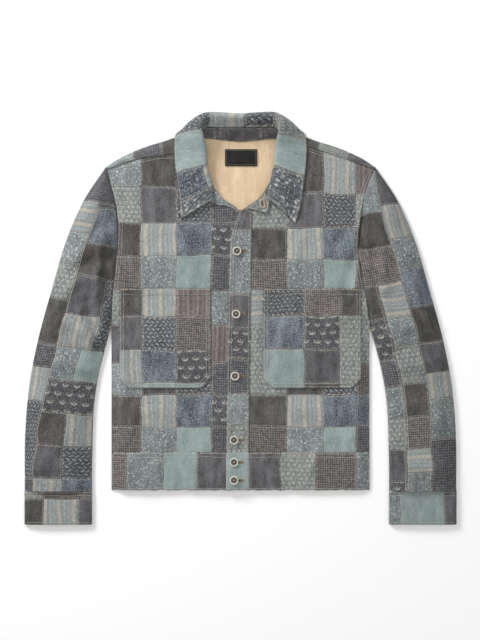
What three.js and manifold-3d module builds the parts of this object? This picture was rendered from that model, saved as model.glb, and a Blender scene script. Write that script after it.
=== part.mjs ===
// A patched work jacket, laid flat on its back with its front up.
// Millimetres. X runs across the jacket, Y from hem to collar, Z up from the surface it lies on.
// Left and right are the wearer's, so the left half lies at +X.

import * as THREE from 'three';
import { mergeVertices } from 'three/addons/utils/BufferGeometryUtils.js';
import Module from 'manifold-3d';

const manifold = await Module();
manifold.setup();

// Cloth and how its layers lie.
const WALL = 1.3; // cloth, with what is turned in at its edges
const SEAM = 0.3; // clear of each other where two pieces are sewn
const SLACK = 3; // air between the back and the fronts
const SIDE_ROLL = 14; // over which the slack closes towards a side seam
const BAND_RISE = WALL + SEAM; // one layer lying on another
const UNDERARM_SPREAD = { below: 50, above: 10 }; // over which the side seam gives way to air
const BAND_CLIMB = { over: 8, down: 24 }; // x between which the left band comes down

// Body.
const HALF_BODY = 224.6;
const HEM_Y = -297.5;
const WAIST_Y = -232.3;
const UNDERARM_Y = -12;
const ARMHOLE_GAP = 0.8;
const RIGHT_FRONT_EDGE = 3; // button edge, under the placket
const LEFT_FRONT_EDGE = 7;

// Shoulder fold, where the back wraps over to the front.
const FOLD_THICKNESS = 2 * WALL + SEAM + SLACK;
const FOLD_LAP = 8;
const FOLD_STEPS = 5;
const FORWARD_GAP = 0.9; // the two curved edges keep clear between their points

// Cuffs.
const CUFF_SEAM_Y = -299.3;
const CUFF_EDGE_Y = -357.7;
const CUFF_INNER_X = 258.5;
const CUFF_OUTER_X = 375.8;

// Pockets.
const POCKET_TOP_Y = 53;
const POCKET_BOTTOM_Y = -120;
const POCKET_CORNER = 17;
const POCKET_SPANS = { right: [-210.5, -52.2], left: [39.2, 209.7] };

// Neck label and buttons.
const LABEL = { x: 0.9, y: 281, width: 55.7, height: 29.6, wall: 1 };
const BUTTON = { radius: 7.5, height: 3.2, sides: 16 };
const BUTTON_PLACES = [
  [-6.1, 118.3],
  [-7.8, 8.7],
  [-9.6, -99.2],
  [-11.3, -210.5],
  [-11.3, -248.8],
  [-11.3, -280.1],
];

// Outlines of one half. x grows outwards from the middle of the jacket.
const SIDES = { right: -1, left: 1 };
const SHOULDER = [[234.4, 264.5], [211, 280], [168, 299], [131, 310.6], [113, 316.3], [85, 318]];
const BACK_NECK = [[85, 318], [66, 320], [20, 315], [0, 313]];
const ARMHOLES = {
  right: [[224.6, -12], [221.4, 52], [216.5, 97], [213.6, 141], [212.8, 172], [219, 209.7],
    [226.5, 238], [234.4, 264.5]],
  left: [[224.6, -12], [216.6, 43.5], [208.5, 84], [204, 118], [206, 157], [213.2, 205.3],
    [223, 240], [234.4, 264.5]],
};
const FORWARD_SEAMS = {
  right: [[231.5, 261.5], [176, 279.5], [119, 287.5], [88, 292]],
  left: [[231.5, 261.5], [115, 300.5], [85, 305]],
};
const NECKLINES = {
  right: [[88, 292], [82, 259], [71, 230], [57, 211.5], [38, 201], [26, 199.5], [10, 192],
    [3.5, 185.5], [-RIGHT_FRONT_EDGE, 181.5]],
  left: [[85, 305], [88, 290], [82, 259], [71, 230], [57, 212], [38, 203], [20, 196],
    [LEFT_FRONT_EDGE, 188]],
};
const SLEEVE_OUTER = [[234.4, 265], [273.7, 205.5], [305, 133], [328.5, 53], [352, -33],
  [367.5, -112], [375, -200], [CUFF_OUTER_X, CUFF_SEAM_Y]];
const SLEEVE_INNER = [[226.5, -19], [245.5, -92], [254.5, -150], [257.5, -220],
  [CUFF_INNER_X, CUFF_SEAM_Y]];
const PLACKET_EDGE = [[-24.7, WAIST_Y], [-23.5, -106], [-20, 69.6], [-18.3, 117.5], [-16.5, 141],
  [-10.3, 165.3], [-2.4, 184.5]];
const PLACKET_SEAM = [[14, WAIST_Y], [20, 193]];
const PLACKET_TOP = [8, 190.5]; // its top passes here

// Soft folds: a line on the cloth, how wide its roll is and how high.
const BODY_FOLDS = [
  { from: [-215, 150], to: [-150, 95], width: 16, height: 0.8 },
  { from: [208, 150], to: [150, 90], width: 16, height: 0.8 },
  { from: [60, -262], to: [16, -236], width: 9, height: 1 },
];
const SLEEVE_FOLDS = [
  { from: [232, 120], to: [290, 90], width: 14, height: 1.2 },
  { from: [252, -70], to: [330, -30], width: 15, height: 1.4 },
  { from: [262, -150], to: [352, -120], width: 14, height: 1.1 },
];

// The collar leaf, half of it, from its front edge round to the middle of the back. Each
// station gives the cloth's path: seam, roll, and over to the free edge.
const LEAF_FRONTS = {
  right: [[74, 192.5, 9.9], [88, 183.5, 7.9], [104, 174, 7]],
  left: [[71, 188.5, 9.9], [83.5, 177.6, 8.2], [95.7, 167, 7]],
};
const LEAF_STATIONS = [
  [[50, 212, 9.5], [46.5, 209, 10.8], [51, 206, 12]], // then on along the leaf's front
  [[55, 236, 9.7], [50, 233.5, 11.2], [54.5, 232, 12.6], [78, 223, 10.6], [93, 215, 8.2],
    [106, 207, 7]],
  [[61.5, 261, 10.2], [56.8, 261, 12], [61.5, 260.5, 13.5], [84, 254, 11], [98.5, 249.5, 8.4],
    [111, 245, 7]],
  [[65.5, 295, 12], [60.5, 296, 14.6], [65, 296.5, 16.4], [87, 291.5, 12], [102.5, 288, 8.8],
    [114.5, 284, 7]],
  [[67, 314, 15.8], [64, 316, 20.5], [67.5, 318.5, 22.8], [88, 315.5, 16], [103.5, 312.5, 9.6],
    [114.5, 303.5, 7.1]],
  [[67, 322.5, 17.4], [66, 327, 24], [70, 331, 26.5], [88, 329, 19.5], [104, 324.5, 11],
    [112, 321.5, 7]],
  [[65, 328, 18], [66, 338, 26.8], [70, 342.5, 28], [85, 341, 20.5], [97, 334, 9.5],
    [96, 329.5, 2.5]],
  [[60, 332, 18.4], [59, 349, 29.3], [60, 354.5, 28.5], [66, 355.2, 20], [69, 352, 8],
    [64, 341, 1]],
  [[33, 332, 18.7], [33, 349.8, 30], [33, 355.5, 28], [34, 356.6, 18.5], [34, 354, 7],
    [33, 341, 1]],
  [[0, 332, 18.7], [0, 348.5, 30], [0, 353.5, 27.8], [0, 354.8, 18.5], [0, 352, 7], [0, 340, 1]],
];
const LEFT_COLLAR_LIFT = [1.5, 1.5, 1.2, 0.6, 0, 0, 0, 0, 0, 0]; // over the placket's top

// The collar stand: pairs of neck seam and top edge, from each front end to the back.
const STAND_ENDS = {
  right: [
    [[4.5, 184, 7], [3.6, 187, 7]],
    [[10, 190, 7], [7, 193.5, 7.1]],
    [[26, 197.3, 7], [18.5, 201.5, 7.2]],
    [[38, 198, 7], [31, 209.5, 7.4]],
    [[58, 208, 7], [43, 224, 7.6]],
    [[74, 228, 7], [51, 239, 7.8]],
  ],
  left: [
    [[-0.5, 185.5, 8.6], [1.5, 188, 8.6]],
    [[12.5, 192, 8.6], [16, 198.2, 8.6]],
    [[45.5, 186.5, 8.6], [33, 211, 8.8]],
    [[50, 203, 8.6], [41, 221.5, 8.9]],
    [[62, 212, 8.2], [45, 228, 9]],
    [[75, 229, 7.8], [51, 239, 9]],
  ],
};
const STAND_BACK = [
  [[86, 258, 7], [57.5, 262, 8.2]],
  [[93, 290, 7.2], [61.5, 294, 9.5]],
  [[88, 306, 7.4], [65.5, 309, 12.5]],
  [[73, 314, 5.8], [66, 321, 15.5]],
  [[60, 314.5, 2.8], [57, 330, 17.5]],
  [[20, 310.5, 2.4], [20, 331, 18]],
];
const STAND_MIDDLE = [[0, 309, 2.4], [0, 331, 18]];

const FINISHES = {
  patchwork: { color: 0x5d676c, roughness: 0.93 },
  label: { color: 0x201f20, roughness: 0.7 },
  button: { color: 0xcfc7b2, roughness: 0.45 },
};

const jacket = new THREE.Group();

// ---------------------------------------------------------------- curves and heights

function mix(a, b, t) {
  return a + (b - a) * t;
}

function smooth(low, high, value) {
  return THREE.MathUtils.smoothstep(value, low, high);
}

function toVector([x, y, z = 0]) {
  return new THREE.Vector3(x, y, z);
}

// A smooth line through the points.
function line(points) {
  return new THREE.CatmullRomCurve3(points.map(toVector), false, 'centripetal');
}

// Lines joined at sharp corners, run through as one.
function joined(...runs) {
  const path = new THREE.CurvePath();
  runs.forEach((points) => path.add(line(points)));
  return path;
}

function mirrored(points, side) {
  return points.map(([x, y, ...rest]) => [side * x, y, ...rest]);
}

function reversed(points) {
  return [...points].reverse();
}

// How far a set of folds lifts the cloth at a place.
function foldLift(folds, x, y) {
  const place = new THREE.Vector3(x, y, 0);
  const near = new THREE.Vector3();
  return folds.reduce((lift, { from, to, width, height }) => {
    const crest = new THREE.Line3(toVector(from), toVector(to));
    crest.closestPointToPoint(place, true, near);
    return lift + height * Math.exp(-near.distanceToSquared(place) / width ** 2);
  }, 0);
}

// Underside of a front over the back: closed at the side seams, open at the armholes.
function frontUnder(x, y) {
  const { below, above } = UNDERARM_SPREAD;
  const closing = smooth(0, SIDE_ROLL, HALF_BODY - Math.abs(x));
  const open = mix(closing, 1, smooth(UNDERARM_Y - below, UNDERARM_Y + above, y));
  return WALL + SEAM + SLACK * open + foldLift(BODY_FOLDS, x, y);
}

function onFront(x, y) {
  return frontUnder(x, y) + BAND_RISE;
}

// The left waistband climbs over the right one at the middle.
function leftBandUnder(x, y) {
  return frontUnder(x, y) + BAND_RISE * (1 - smooth(BAND_CLIMB.over, BAND_CLIMB.down, x));
}

// A sheet between four edges, as a function of two fractions.
function between(bottom, top, start, end) {
  const corners = [bottom.getPoint(0), bottom.getPoint(1), top.getPoint(0), top.getPoint(1)];
  return (u, v) => {
    const ruled = bottom.getPoint(u).lerp(top.getPoint(u), v);
    ruled.add(start.getPoint(v).lerp(end.getPoint(v), u));
    const low = corners[0].clone().lerp(corners[1], u);
    const high = corners[2].clone().lerp(corners[3], u);
    return ruled.sub(low.lerp(high, v));
  };
}

function rectangle(x0, x1, y0, y1) {
  return (u, v) => new THREE.Vector3(mix(x0, x1, u), mix(y0, y1, v), 0);
}

function fractions(count) {
  return Array.from({ length: count + 1 }, (_, index) => index / count);
}

// ---------------------------------------------------------------- closed solids of cloth

// A wall between two grids of points. A tube's columns close on themselves.
function wallBetween(lower, upper, tube = false) {
  const rows = lower.length;
  const columns = lower[0].length;
  const positions = [...lower.flat(), ...upper.flat()].flatMap((point) => point.toArray());
  const indices = [];
  const at = (face, row, column) => (face * rows + row) * columns + (column % columns);
  const quad = (a, b, c, d) => indices.push(a, b, c, a, c, d);
  const lastColumn = tube ? columns : columns - 1;
  for (let row = 0; row < rows - 1; row += 1) {
    for (let column = 0; column < lastColumn; column += 1) {
      quad(at(1, row, column), at(1, row, column + 1), at(1, row + 1, column + 1),
        at(1, row + 1, column));
      quad(at(0, row, column), at(0, row + 1, column), at(0, row + 1, column + 1),
        at(0, row, column + 1));
    }
    if (!tube) {
      quad(at(0, row, 0), at(1, row, 0), at(1, row + 1, 0), at(0, row + 1, 0));
      quad(at(0, row, lastColumn), at(0, row + 1, lastColumn), at(1, row + 1, lastColumn),
        at(1, row, lastColumn));
    }
  }
  for (let column = 0; column < lastColumn; column += 1) {
    quad(at(0, 0, column), at(0, 0, column + 1), at(1, 0, column + 1), at(1, 0, column));
    quad(at(0, rows - 1, column), at(1, rows - 1, column), at(1, rows - 1, column + 1),
      at(0, rows - 1, column + 1));
  }
  const geometry = new THREE.BufferGeometry();
  geometry.setAttribute('position', new THREE.Float32BufferAttribute(positions, 3));
  geometry.setIndex(indices);
  return facingOut(geometry);
}

function signedVolume(geometry) {
  const { array } = geometry.attributes.position;
  const corners = [0, 1, 2].map(() => new THREE.Vector3());
  let sum = 0;
  for (let start = 0; start < geometry.index.count; start += 3) {
    corners.forEach((corner, k) => corner.fromArray(array, 3 * geometry.index.getX(start + k)));
    sum += corners[0].dot(corners[1].clone().cross(corners[2]));
  }
  return sum / 6;
}

function facingOut(geometry) {
  if (signedVolume(geometry) < 0) {
    geometry.index.array.reverse();
  }
  geometry.computeVertexNormals();
  return geometry;
}

// A panel lying level: place gives its plan, under the height of its lower face.
function panel(place, under, columns, rows, wall = WALL) {
  const lower = rows.map((v) => columns.map((u) => {
    const point = place(u, v);
    point.z = under(point.x, point.y);
    return point;
  }));
  const raise = new THREE.Vector3(0, 0, wall);
  const upper = lower.map((row) => row.map((point) => point.clone().add(raise)));
  return wallBetween(lower, upper);
}

// A wall on both sides of a curved sheet of points.
function wallOn(sheet) {
  const lastRow = sheet.length - 1;
  const lastColumn = sheet[0].length - 1;
  const moved = (distance) => sheet.map((row, r) => row.map((point, c) => {
    const along = sheet[Math.min(r + 1, lastRow)][c].clone();
    along.sub(sheet[Math.max(r - 1, 0)][c]);
    const across = row[Math.min(c + 1, lastColumn)].clone();
    across.sub(row[Math.max(c - 1, 0)]);
    return along.cross(across).setLength(distance).add(point);
  }));
  return wallBetween(moved(-WALL / 2), moved(WALL / 2));
}

// Rails are lines through the stations; each row of the sheet crosses them smoothly.
function sheetThrough(stations, stepsAlong, stepsAcross) {
  const rails = stations[0].map((_, k) => line(stations.map((station) => station[k])));
  const along = fractions((stations.length - 1) * stepsAlong);
  return along.map((t) => {
    const crossing = rails.map((rail) => rail.getPoint(t).toArray());
    const path = crossing.length > 2 ? line(crossing) : new THREE.LineCurve3(
      toVector(crossing[0]), toVector(crossing[1]));
    return fractions(stepsAcross).map((s) => path.getPoint(s));
  });
}

function asSolid(geometry) {
  const bare = geometry.clone();
  bare.deleteAttribute('normal');
  bare.deleteAttribute('uv');
  const merged = mergeVertices(bare);
  return new manifold.Manifold(new manifold.Mesh({
    numProp: 3,
    vertProperties: merged.attributes.position.array,
    triVerts: Uint32Array.from(merged.index.array),
  }));
}

function sewnInOne(...geometries) {
  const whole = geometries.map(asSolid).reduce((sum, solid) => sum.add(solid)).getMesh();
  const geometry = new THREE.BufferGeometry();
  geometry.setAttribute('position', new THREE.BufferAttribute(whole.vertProperties, 3));
  geometry.setIndex(new THREE.BufferAttribute(whole.triVerts, 1));
  geometry.computeVertexNormals();
  return geometry;
}

function add(name, geometry, finish) {
  const mesh = new THREE.Mesh(geometry, new THREE.MeshStandardMaterial(FINISHES[finish]));
  mesh.name = name;
  jacket.add(mesh);
  return mesh;
}

// ---------------------------------------------------------------- back

// The inward direction, in plan, from the shoulder line.
function intoBody(shoulder, t, side) {
  const tangent = shoulder.getTangent(t);
  return new THREE.Vector3(-tangent.y * side, tangent.x * side, 0);
}

function shoulderPoint(shoulder, t, side, inset, z) {
  const point = shoulder.getPoint(t).addScaledVector(intoBody(shoulder, t, side), inset);
  return point.setZ(z);
}

// The strip of the back that rolls over one shoulder and ends at the forward seam.
function shoulderWrap(sideName) {
  const side = SIDES[sideName];
  const shoulder = line(mirrored(SHOULDER, side));
  const seam = line(mirrored(FORWARD_SEAMS[sideName], side));
  const radius = (FOLD_THICKNESS - WALL) / 2;
  const middle = FOLD_THICKNESS / 2;
  const sheet = fractions(10).map((t) => {
    const low = WALL / 2;
    const row = [shoulderPoint(shoulder, t, side, FOLD_LAP, low)];
    fractions(FOLD_STEPS).forEach((s) => {
      const turn = Math.PI * (s - 0.5);
      const inset = FOLD_THICKNESS / 2 - radius * Math.cos(turn);
      row.push(shoulderPoint(shoulder, t, side, inset, middle + radius * Math.sin(turn)));
    });
    const last = row.at(-1);
    const end = seam.getPoint(t).setZ(last.z);
    const reach = end.distanceTo(last);
    const stop = Math.max(reach - FORWARD_GAP, 1) / reach;
    [0.5, 1].forEach((s) => row.push(last.clone().lerp(end, s * stop)));
    return row;
  });
  return wallOn(sheet);
}

function bodySide(sideName, top) {
  const side = SIDES[sideName];
  const armhole = mirrored(ARMHOLES[sideName], side);
  const seamStart = [side * HALF_BODY, WAIST_Y + SEAM / 2];
  const edge = armhole.slice(0, -1);
  return joined([seamStart, edge[0]], [...edge, [side * top[0], top[1]]]);
}

function backPanel() {
  const insetShoulder = (sideName) => {
    const side = SIDES[sideName];
    const shoulder = line(mirrored(SHOULDER, side));
    return fractions(5).map((t) => {
      const point = shoulderPoint(shoulder, t, side, FOLD_THICKNESS / 2, 0);
      return [point.x, point.y];
    });
  };
  const rightShoulder = insetShoulder('right');
  const leftShoulder = insetShoulder('left');
  const neckRight = [rightShoulder.at(-1), ...mirrored(BACK_NECK.slice(1), -1)];
  const neckLeft = [leftShoulder.at(-1), ...BACK_NECK.slice(1, -1)];
  const top = joined(rightShoulder, [...neckRight, ...reversed(neckLeft)], reversed(leftShoulder));
  const y = WAIST_Y + SEAM / 2;
  const bottom = line([[-HALF_BODY, y], [HALF_BODY, y]]);
  const start = bodySide('right', [-rightShoulder[0][0], rightShoulder[0][1]]);
  const end = bodySide('left', leftShoulder[0]);
  return panel(between(bottom, top, start, end), () => 0, fractions(14), fractions(22));
}

function back() {
  add('back', sewnInOne(backPanel(), shoulderWrap('right'), shoulderWrap('left')), 'patchwork');
}

// ---------------------------------------------------------------- fronts and bands

function front(sideName) {
  const side = SIDES[sideName];
  const forward = mirrored(FORWARD_SEAMS[sideName], side);
  const neckline = mirrored(NECKLINES[sideName], side);
  const middle = neckline.at(-1);
  const y = WAIST_Y + SEAM / 2;
  const top = joined(forward, neckline);
  const bottom = line([[side * HALF_BODY, y], [middle[0], y]]);
  const start = bodySide(sideName, FORWARD_SEAMS[sideName][0]);
  const end = line([[middle[0], y], middle]);
  const columns = [0, 0.025, 0.06, ...fractions(10).slice(1)];
  const shape = panel(between(bottom, top, start, end), frontUnder, columns, fractions(17));
  add(`front_${sideName}`, shape, 'patchwork');
}

function placket() {
  const edge = line(PLACKET_EDGE.map(([x, y]) => [x, Math.max(y, WAIST_Y + SEAM / 2)]));
  const seam = line([[PLACKET_SEAM[0][0], WAIST_Y + SEAM / 2], PLACKET_SEAM[1]]);
  const bottom = line([edge.getPoint(0).toArray(), seam.getPoint(0).toArray()]);
  const top = line([edge.getPoint(1).toArray(), PLACKET_TOP, seam.getPoint(1).toArray()]);
  const place = between(bottom, top, edge, seam);
  add('placket', panel(place, onFront, fractions(4), fractions(18)), 'patchwork');
}

function pocket(sideName) {
  const [x0, x1] = POCKET_SPANS[sideName];
  const corner = POCKET_CORNER / (x1 - x0);
  const columns = [0, ...fractions(5).map((t) => mix(corner, 1 - corner, t)), 1];
  const place = (u, v) => {
    const x = mix(x0, x1, u);
    const clipped = Math.max(0, POCKET_CORNER - (x - x0), POCKET_CORNER - (x1 - x));
    return new THREE.Vector3(x, mix(POCKET_BOTTOM_Y + clipped, POCKET_TOP_Y, v), 0);
  };
  add(`pocket_${sideName}`, panel(place, onFront, columns, fractions(7)), 'patchwork');
}

function waistbands() {
  const top = WAIST_Y - SEAM / 2;
  const rows = fractions(2);
  const spans = [
    ['back', -HALF_BODY, HALF_BODY, () => 0, 6],
    ['right', -HALF_BODY, RIGHT_FRONT_EDGE, frontUnder, 12],
    ['left', PLACKET_EDGE[0][0], HALF_BODY, leftBandUnder, 20],
  ];
  spans.forEach(([name, x0, x1, under, columns]) => {
    const shape = panel(rectangle(x0, x1, HEM_Y, top), under, fractions(columns), rows);
    add(`waistband_${name}`, shape, 'patchwork');
  });
}

// ---------------------------------------------------------------- sleeves and cuffs

// One turn round a flattened tube, as distance in from its outer edge and height.
function flatRing(width, inset) {
  const radius = FOLD_THICKNESS / 2;
  const near = radius;
  const far = width - radius;
  const flat = fractions(6).slice(1, -1);
  const bend = fractions(3);
  const arc = (centre, from) => bend.map((s) => {
    const turn = from + Math.PI * s;
    return { t: centre + (radius - inset) * Math.cos(turn),
      z: radius + (radius - inset) * Math.sin(turn), top: false };
  });
  return [
    ...flat.map((s) => ({ t: mix(near, far, s), z: inset, top: false })),
    ...arc(far, -Math.PI / 2),
    ...flat.map((s) => ({ t: mix(far, near, s), z: FOLD_THICKNESS - inset, top: true })),
    ...arc(near, Math.PI / 2),
  ];
}

function flatTube(place, rows, folds) {
  const skin = (inset) => rows.map((v) => {
    const width = place(0, v).distanceTo(place(1, v));
    return flatRing(width, inset).map(({ t, z, top }) => {
      const point = place(t / width, v);
      const lift = top ? foldLift(folds, Math.abs(point.x), point.y) : 0;
      return point.setZ(z + lift);
    });
  });
  return wallBetween(skin(WALL), skin(0), true);
}

function sleeve(sideName) {
  const side = SIDES[sideName];
  const armhole = reversed(ARMHOLES[sideName]).map(([x, y]) => [x + ARMHOLE_GAP, y]);
  const y = CUFF_SEAM_Y + SEAM / 2;
  const outer = SLEEVE_OUTER.slice(0, -1);
  const inner = SLEEVE_INNER.slice(0, -1);
  const place = between(
    line(mirrored([...armhole.slice(0, -1), [SLEEVE_INNER[0][0], SLEEVE_INNER[0][1]]], side)),
    line(mirrored([[CUFF_OUTER_X, y], [CUFF_INNER_X, y]], side)),
    line(mirrored([armhole[0], ...outer.slice(1), [CUFF_OUTER_X, y]], side)),
    line(mirrored([...inner, [CUFF_INNER_X, y]], side)),
  );
  add(`sleeve_${sideName}`, flatTube(place, fractions(14), SLEEVE_FOLDS), 'patchwork');
}

function cuff(sideName) {
  const side = SIDES[sideName];
  const top = CUFF_SEAM_Y - SEAM / 2;
  const place = rectangle(side * CUFF_OUTER_X, side * CUFF_INNER_X, top, CUFF_EDGE_Y);
  add(`cuff_${sideName}`, flatTube(place, fractions(2), []), 'patchwork');
}

// ---------------------------------------------------------------- collar, label, buttons

function leafHalf(sideName) {
  const side = SIDES[sideName];
  return LEAF_STATIONS.map((station, index) => {
    const lift = sideName === 'left' ? LEFT_COLLAR_LIFT[index] : 0;
    const path = index === 0 ? [...station, ...LEAF_FRONTS[sideName]] : station;
    return path.map(([x, y, z], k) => [side * x, y, k < 4 ? z + lift : z]);
  });
}

function collarLeaf() {
  const stations = [...leafHalf('right'), ...reversed(leafHalf('left')).slice(1)];
  add('collar_fall', wallOn(sheetThrough(stations, 2, 9)), 'patchwork');
}

function collarStand() {
  const half = (sideName) => [...STAND_ENDS[sideName], ...STAND_BACK].map(
    (pair) => mirrored(pair, SIDES[sideName]));
  const stations = [...half('right'), STAND_MIDDLE, ...reversed(half('left'))];
  add('collar_stand', wallOn(sheetThrough(stations, 2, 3)), 'patchwork');
}

function neckLabel() {
  const { x, y, width, height, wall } = LABEL;
  const place = rectangle(x - width / 2, x + width / 2, y - height / 2, y + height / 2);
  const ends = fractions(1);
  add('neck_label', panel(place, () => WALL + SEAM, ends, ends, wall), 'label');
}

// A dished ring button, standing on whatever lies under its middle.
function buttons() {
  const { radius, height, sides } = BUTTON;
  const profile = [[0, 0], [radius - 1, 0], [radius, 0.8], [radius, height - 0.8],
    [radius - 0.9, height], [radius - 2.2, height - 0.2], [radius - 3.4, height - 1.5],
    [0, height - 1.7]].map(([r, z]) => new THREE.Vector2(r, z));
  BUTTON_PLACES.forEach(([x, y], index) => {
    const shape = new THREE.LatheGeometry(profile, sides);
    shape.rotateX(Math.PI / 2);
    const mesh = add(`button_${index + 1}`, shape, 'button');
    mesh.position.set(x, y, onFront(x, y) + WALL + SEAM);
  });
}

back();
['right', 'left'].forEach((sideName) => {
  front(sideName);
  pocket(sideName);
  sleeve(sideName);
  cuff(sideName);
});
placket();
waistbands();
collarStand();
collarLeaf();
neckLabel();
buttons();

export default jacket;
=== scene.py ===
"""Patched boro jacket, laid flat with its front up, dressed around its CAD frame.

Every cloth piece is a sheet on a grid that follows its own grain. Charts say which patch
lies where, in millimetres of cloth. Lengths are millimetres until a mesh is made.
"""

from __future__ import annotations

import logging
import math
import random
from dataclasses import dataclass, field
from enum import Enum
from typing import Callable, Iterable, Sequence

import bpy
import numpy as np
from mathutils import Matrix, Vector, noise
from mathutils.bvhtree import BVHTree

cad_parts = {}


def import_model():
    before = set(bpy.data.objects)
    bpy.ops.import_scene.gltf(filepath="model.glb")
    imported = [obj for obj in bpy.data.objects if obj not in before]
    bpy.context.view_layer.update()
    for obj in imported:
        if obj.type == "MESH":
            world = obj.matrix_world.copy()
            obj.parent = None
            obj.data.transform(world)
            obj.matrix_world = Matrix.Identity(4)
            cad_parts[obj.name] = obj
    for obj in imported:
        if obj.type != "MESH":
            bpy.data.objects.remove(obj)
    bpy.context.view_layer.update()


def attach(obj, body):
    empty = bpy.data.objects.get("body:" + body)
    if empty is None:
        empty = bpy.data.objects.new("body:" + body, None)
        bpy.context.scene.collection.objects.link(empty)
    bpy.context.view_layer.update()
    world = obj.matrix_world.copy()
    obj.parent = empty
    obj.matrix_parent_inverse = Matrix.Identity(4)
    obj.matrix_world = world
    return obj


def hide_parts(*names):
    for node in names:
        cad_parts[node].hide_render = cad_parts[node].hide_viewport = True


LOG = logging.getLogger("jacket")

MM = 0.001
WALL = 1.3  # one cloth
SEAM = 0.3  # air where cloths touch
SLACK = 3.0  # air between the fronts and the back
LAYER = WALL + SEAM
TOP = 2 * WALL + SEAM + SLACK  # the fronts' outer face over the floor
HALF_BODY = 224.6
HEM_Y = -297.5
WAIST_Y = -232.3
UNDERARM_Y = -12.0
CUFF_SEAM_Y = -299.3
CUFF_EDGE_Y = -357.7
CUFF_INNER_X = 258.5
CUFF_OUTER_X = 375.8
TUCK = 4.0  # how far one piece goes in under the next
GROOVE = 1.1  # grid spacing beside a patch's border
PUFF = 0.6  # how far a patch stands up from its seams
PUCKER = 0.32  # how far stitching draws the cloth up beside a seam
DRIFT = 3.4  # how far a patch seam can stray, at most
DRIFT_MARGIN = 16.0  # from a sheet's edge to where its seams stray in full
FAR_IN = 9.0  # the edge distance of what lies near no seam
LAST_SLOT = 40  # more than any sheet's slots, so Solidify takes the last one
SMOOTH_ANGLE = math.radians(50)

Array = np.ndarray
Socket = bpy.types.NodeSocket
Point = Sequence[float]
Line = Sequence[Point]
Place = Callable[[Array, Array], Array]

SHOULDER: Line = ((234.4, 264.5), (211, 280), (168, 299), (131, 310.6), (113, 316.3), (85, 318))
BACK_NECK: Line = ((85, 318), (66, 320), (20, 315), (0, 313))
SLEEVE_OUTER: Line = ((234.4, 265), (273.7, 205.5), (305, 133), (328.5, 53), (352, -33),
                      (367.5, -112), (375, -200), (375.8, -299.3))
SLEEVE_INNER: Line = ((226.5, -19), (245.5, -92), (254.5, -150), (257.5, -220), (258.5, -299.3))
PLACKET_EDGE: Line = ((-24.7, WAIST_Y), (-23.5, -106), (-20, 69.6), (-18.3, 117.5), (-16.5, 141),
                      (-10.3, 165.3), (-2.4, 184.5))
PLACKET_SEAM: Line = ((14, WAIST_Y), (20, 193))


class Side(Enum):
    """The wearer's side, with the sign of X that it lies on."""

    RIGHT = -1
    LEFT = 1

    @property
    def word(self) -> str:
        """The side's name in piece and node names."""
        return self.name.lower()


ARMHOLES: dict[Side, Line] = {
    Side.RIGHT: ((224.6, -12), (221.4, 52), (216.5, 97), (213.6, 141), (212.8, 172),
                 (219, 209.7), (226.5, 238), (234.4, 264.5)),
    Side.LEFT: ((224.6, -12), (216.6, 43.5), (208.5, 84), (204, 118), (206, 157),
                (213.2, 205.3), (223, 240), (234.4, 264.5)),
}
FORWARD_SEAMS: dict[Side, Line] = {
    Side.RIGHT: ((231.5, 261.5), (176, 279.5), (119, 287.5), (88, 292)),
    Side.LEFT: ((231.5, 261.5), (115, 300.5), (85, 305)),
}
NECKLINES: dict[Side, Line] = {
    Side.RIGHT: ((88, 292), (82, 259), (71, 230), (57, 211.5), (38, 201), (26, 199.5),
                 (10, 192), (3.5, 185.5), (-3, 181.5)),
    Side.LEFT: ((85, 305), (88, 290), (82, 259), (71, 230), (57, 212), (38, 203), (20, 196),
                (7, 188)),
}
POCKET_SPANS: dict[Side, Point] = {Side.RIGHT: (-210.5, -52.2), Side.LEFT: (39.2, 209.7)}
POCKET_TOP_Y = 53.0
POCKET_BOTTOM_Y = -120.0
POCKET_CORNER = 17.0
BUTTONS: Line = ((-6.1, 118.3), (-7.8, 8.7), (-9.6, -99.2), (-11.3, -210.5), (-11.3, -248.8),
                 (-11.3, -280.1))


def mirrored(points: Line, side: Side) -> list[tuple[float, ...]]:
    """The points of one half, given with x growing outwards, put on a side."""
    return [(side.value * p[0], *p[1:]) for p in points]


def smooth_line(points: Line, per_span: int = 10) -> Array:
    """A smooth line through points, as centripetal Catmull-Rom spans.

    Args:
        points: Two or more points.
        per_span: How many steps each span gets.

    Returns:
        The line's points, one row each.
    """
    knots = np.array(points, float)
    ends = np.vstack([2 * knots[0] - knots[1], knots, 2 * knots[-1] - knots[-2]])
    made = [knots[:1]]
    for a, b, c, d in zip(ends, ends[1:], ends[2:], ends[3:]):
        t1 = max(np.linalg.norm(b - a) ** 0.5, 1e-6)
        t2 = t1 + max(np.linalg.norm(c - b) ** 0.5, 1e-6)
        t3 = t2 + max(np.linalg.norm(d - c) ** 0.5, 1e-6)
        t = np.linspace(t1, t2, per_span + 1)[1:, None]
        ab = a + (b - a) * t / t1
        bc = b + (c - b) * (t - t1) / (t2 - t1)
        cd = c + (d - c) * (t - t2) / (t3 - t2)
        abc = ab + (bc - ab) * t / t2
        bcd = bc + (cd - bc) * (t - t1) / (t3 - t1)
        made.append(abc + (bcd - abc) * (t - t1) / (t2 - t1))
    return np.vstack(made)


def lengths_along(line: Array) -> Array:
    """The distance run at each point of a line."""
    steps = np.linalg.norm(np.diff(line, axis=0), axis=1)
    return np.concatenate([[0.0], np.cumsum(steps)])


def at_share(line: Array, share: Array) -> Array:
    """Points at shares of a line's length.

    Args:
        line: The line's points.
        share: Shares from 0 to 1, in any array shape.

    Returns:
        The points, with one more axis than share.
    """
    run = lengths_along(line)
    where = np.clip(share, 0, 1) * run[-1]
    return np.stack([np.interp(where, run, line[:, k]) for k in range(line.shape[1])], axis=-1)


def blend(low: float, high: float, value: Array) -> Array:
    """A smooth step from 0 at low to 1 at high."""
    t = np.clip((value - low) / (high - low), 0, 1)
    return t * t * (3 - 2 * t)


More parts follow.
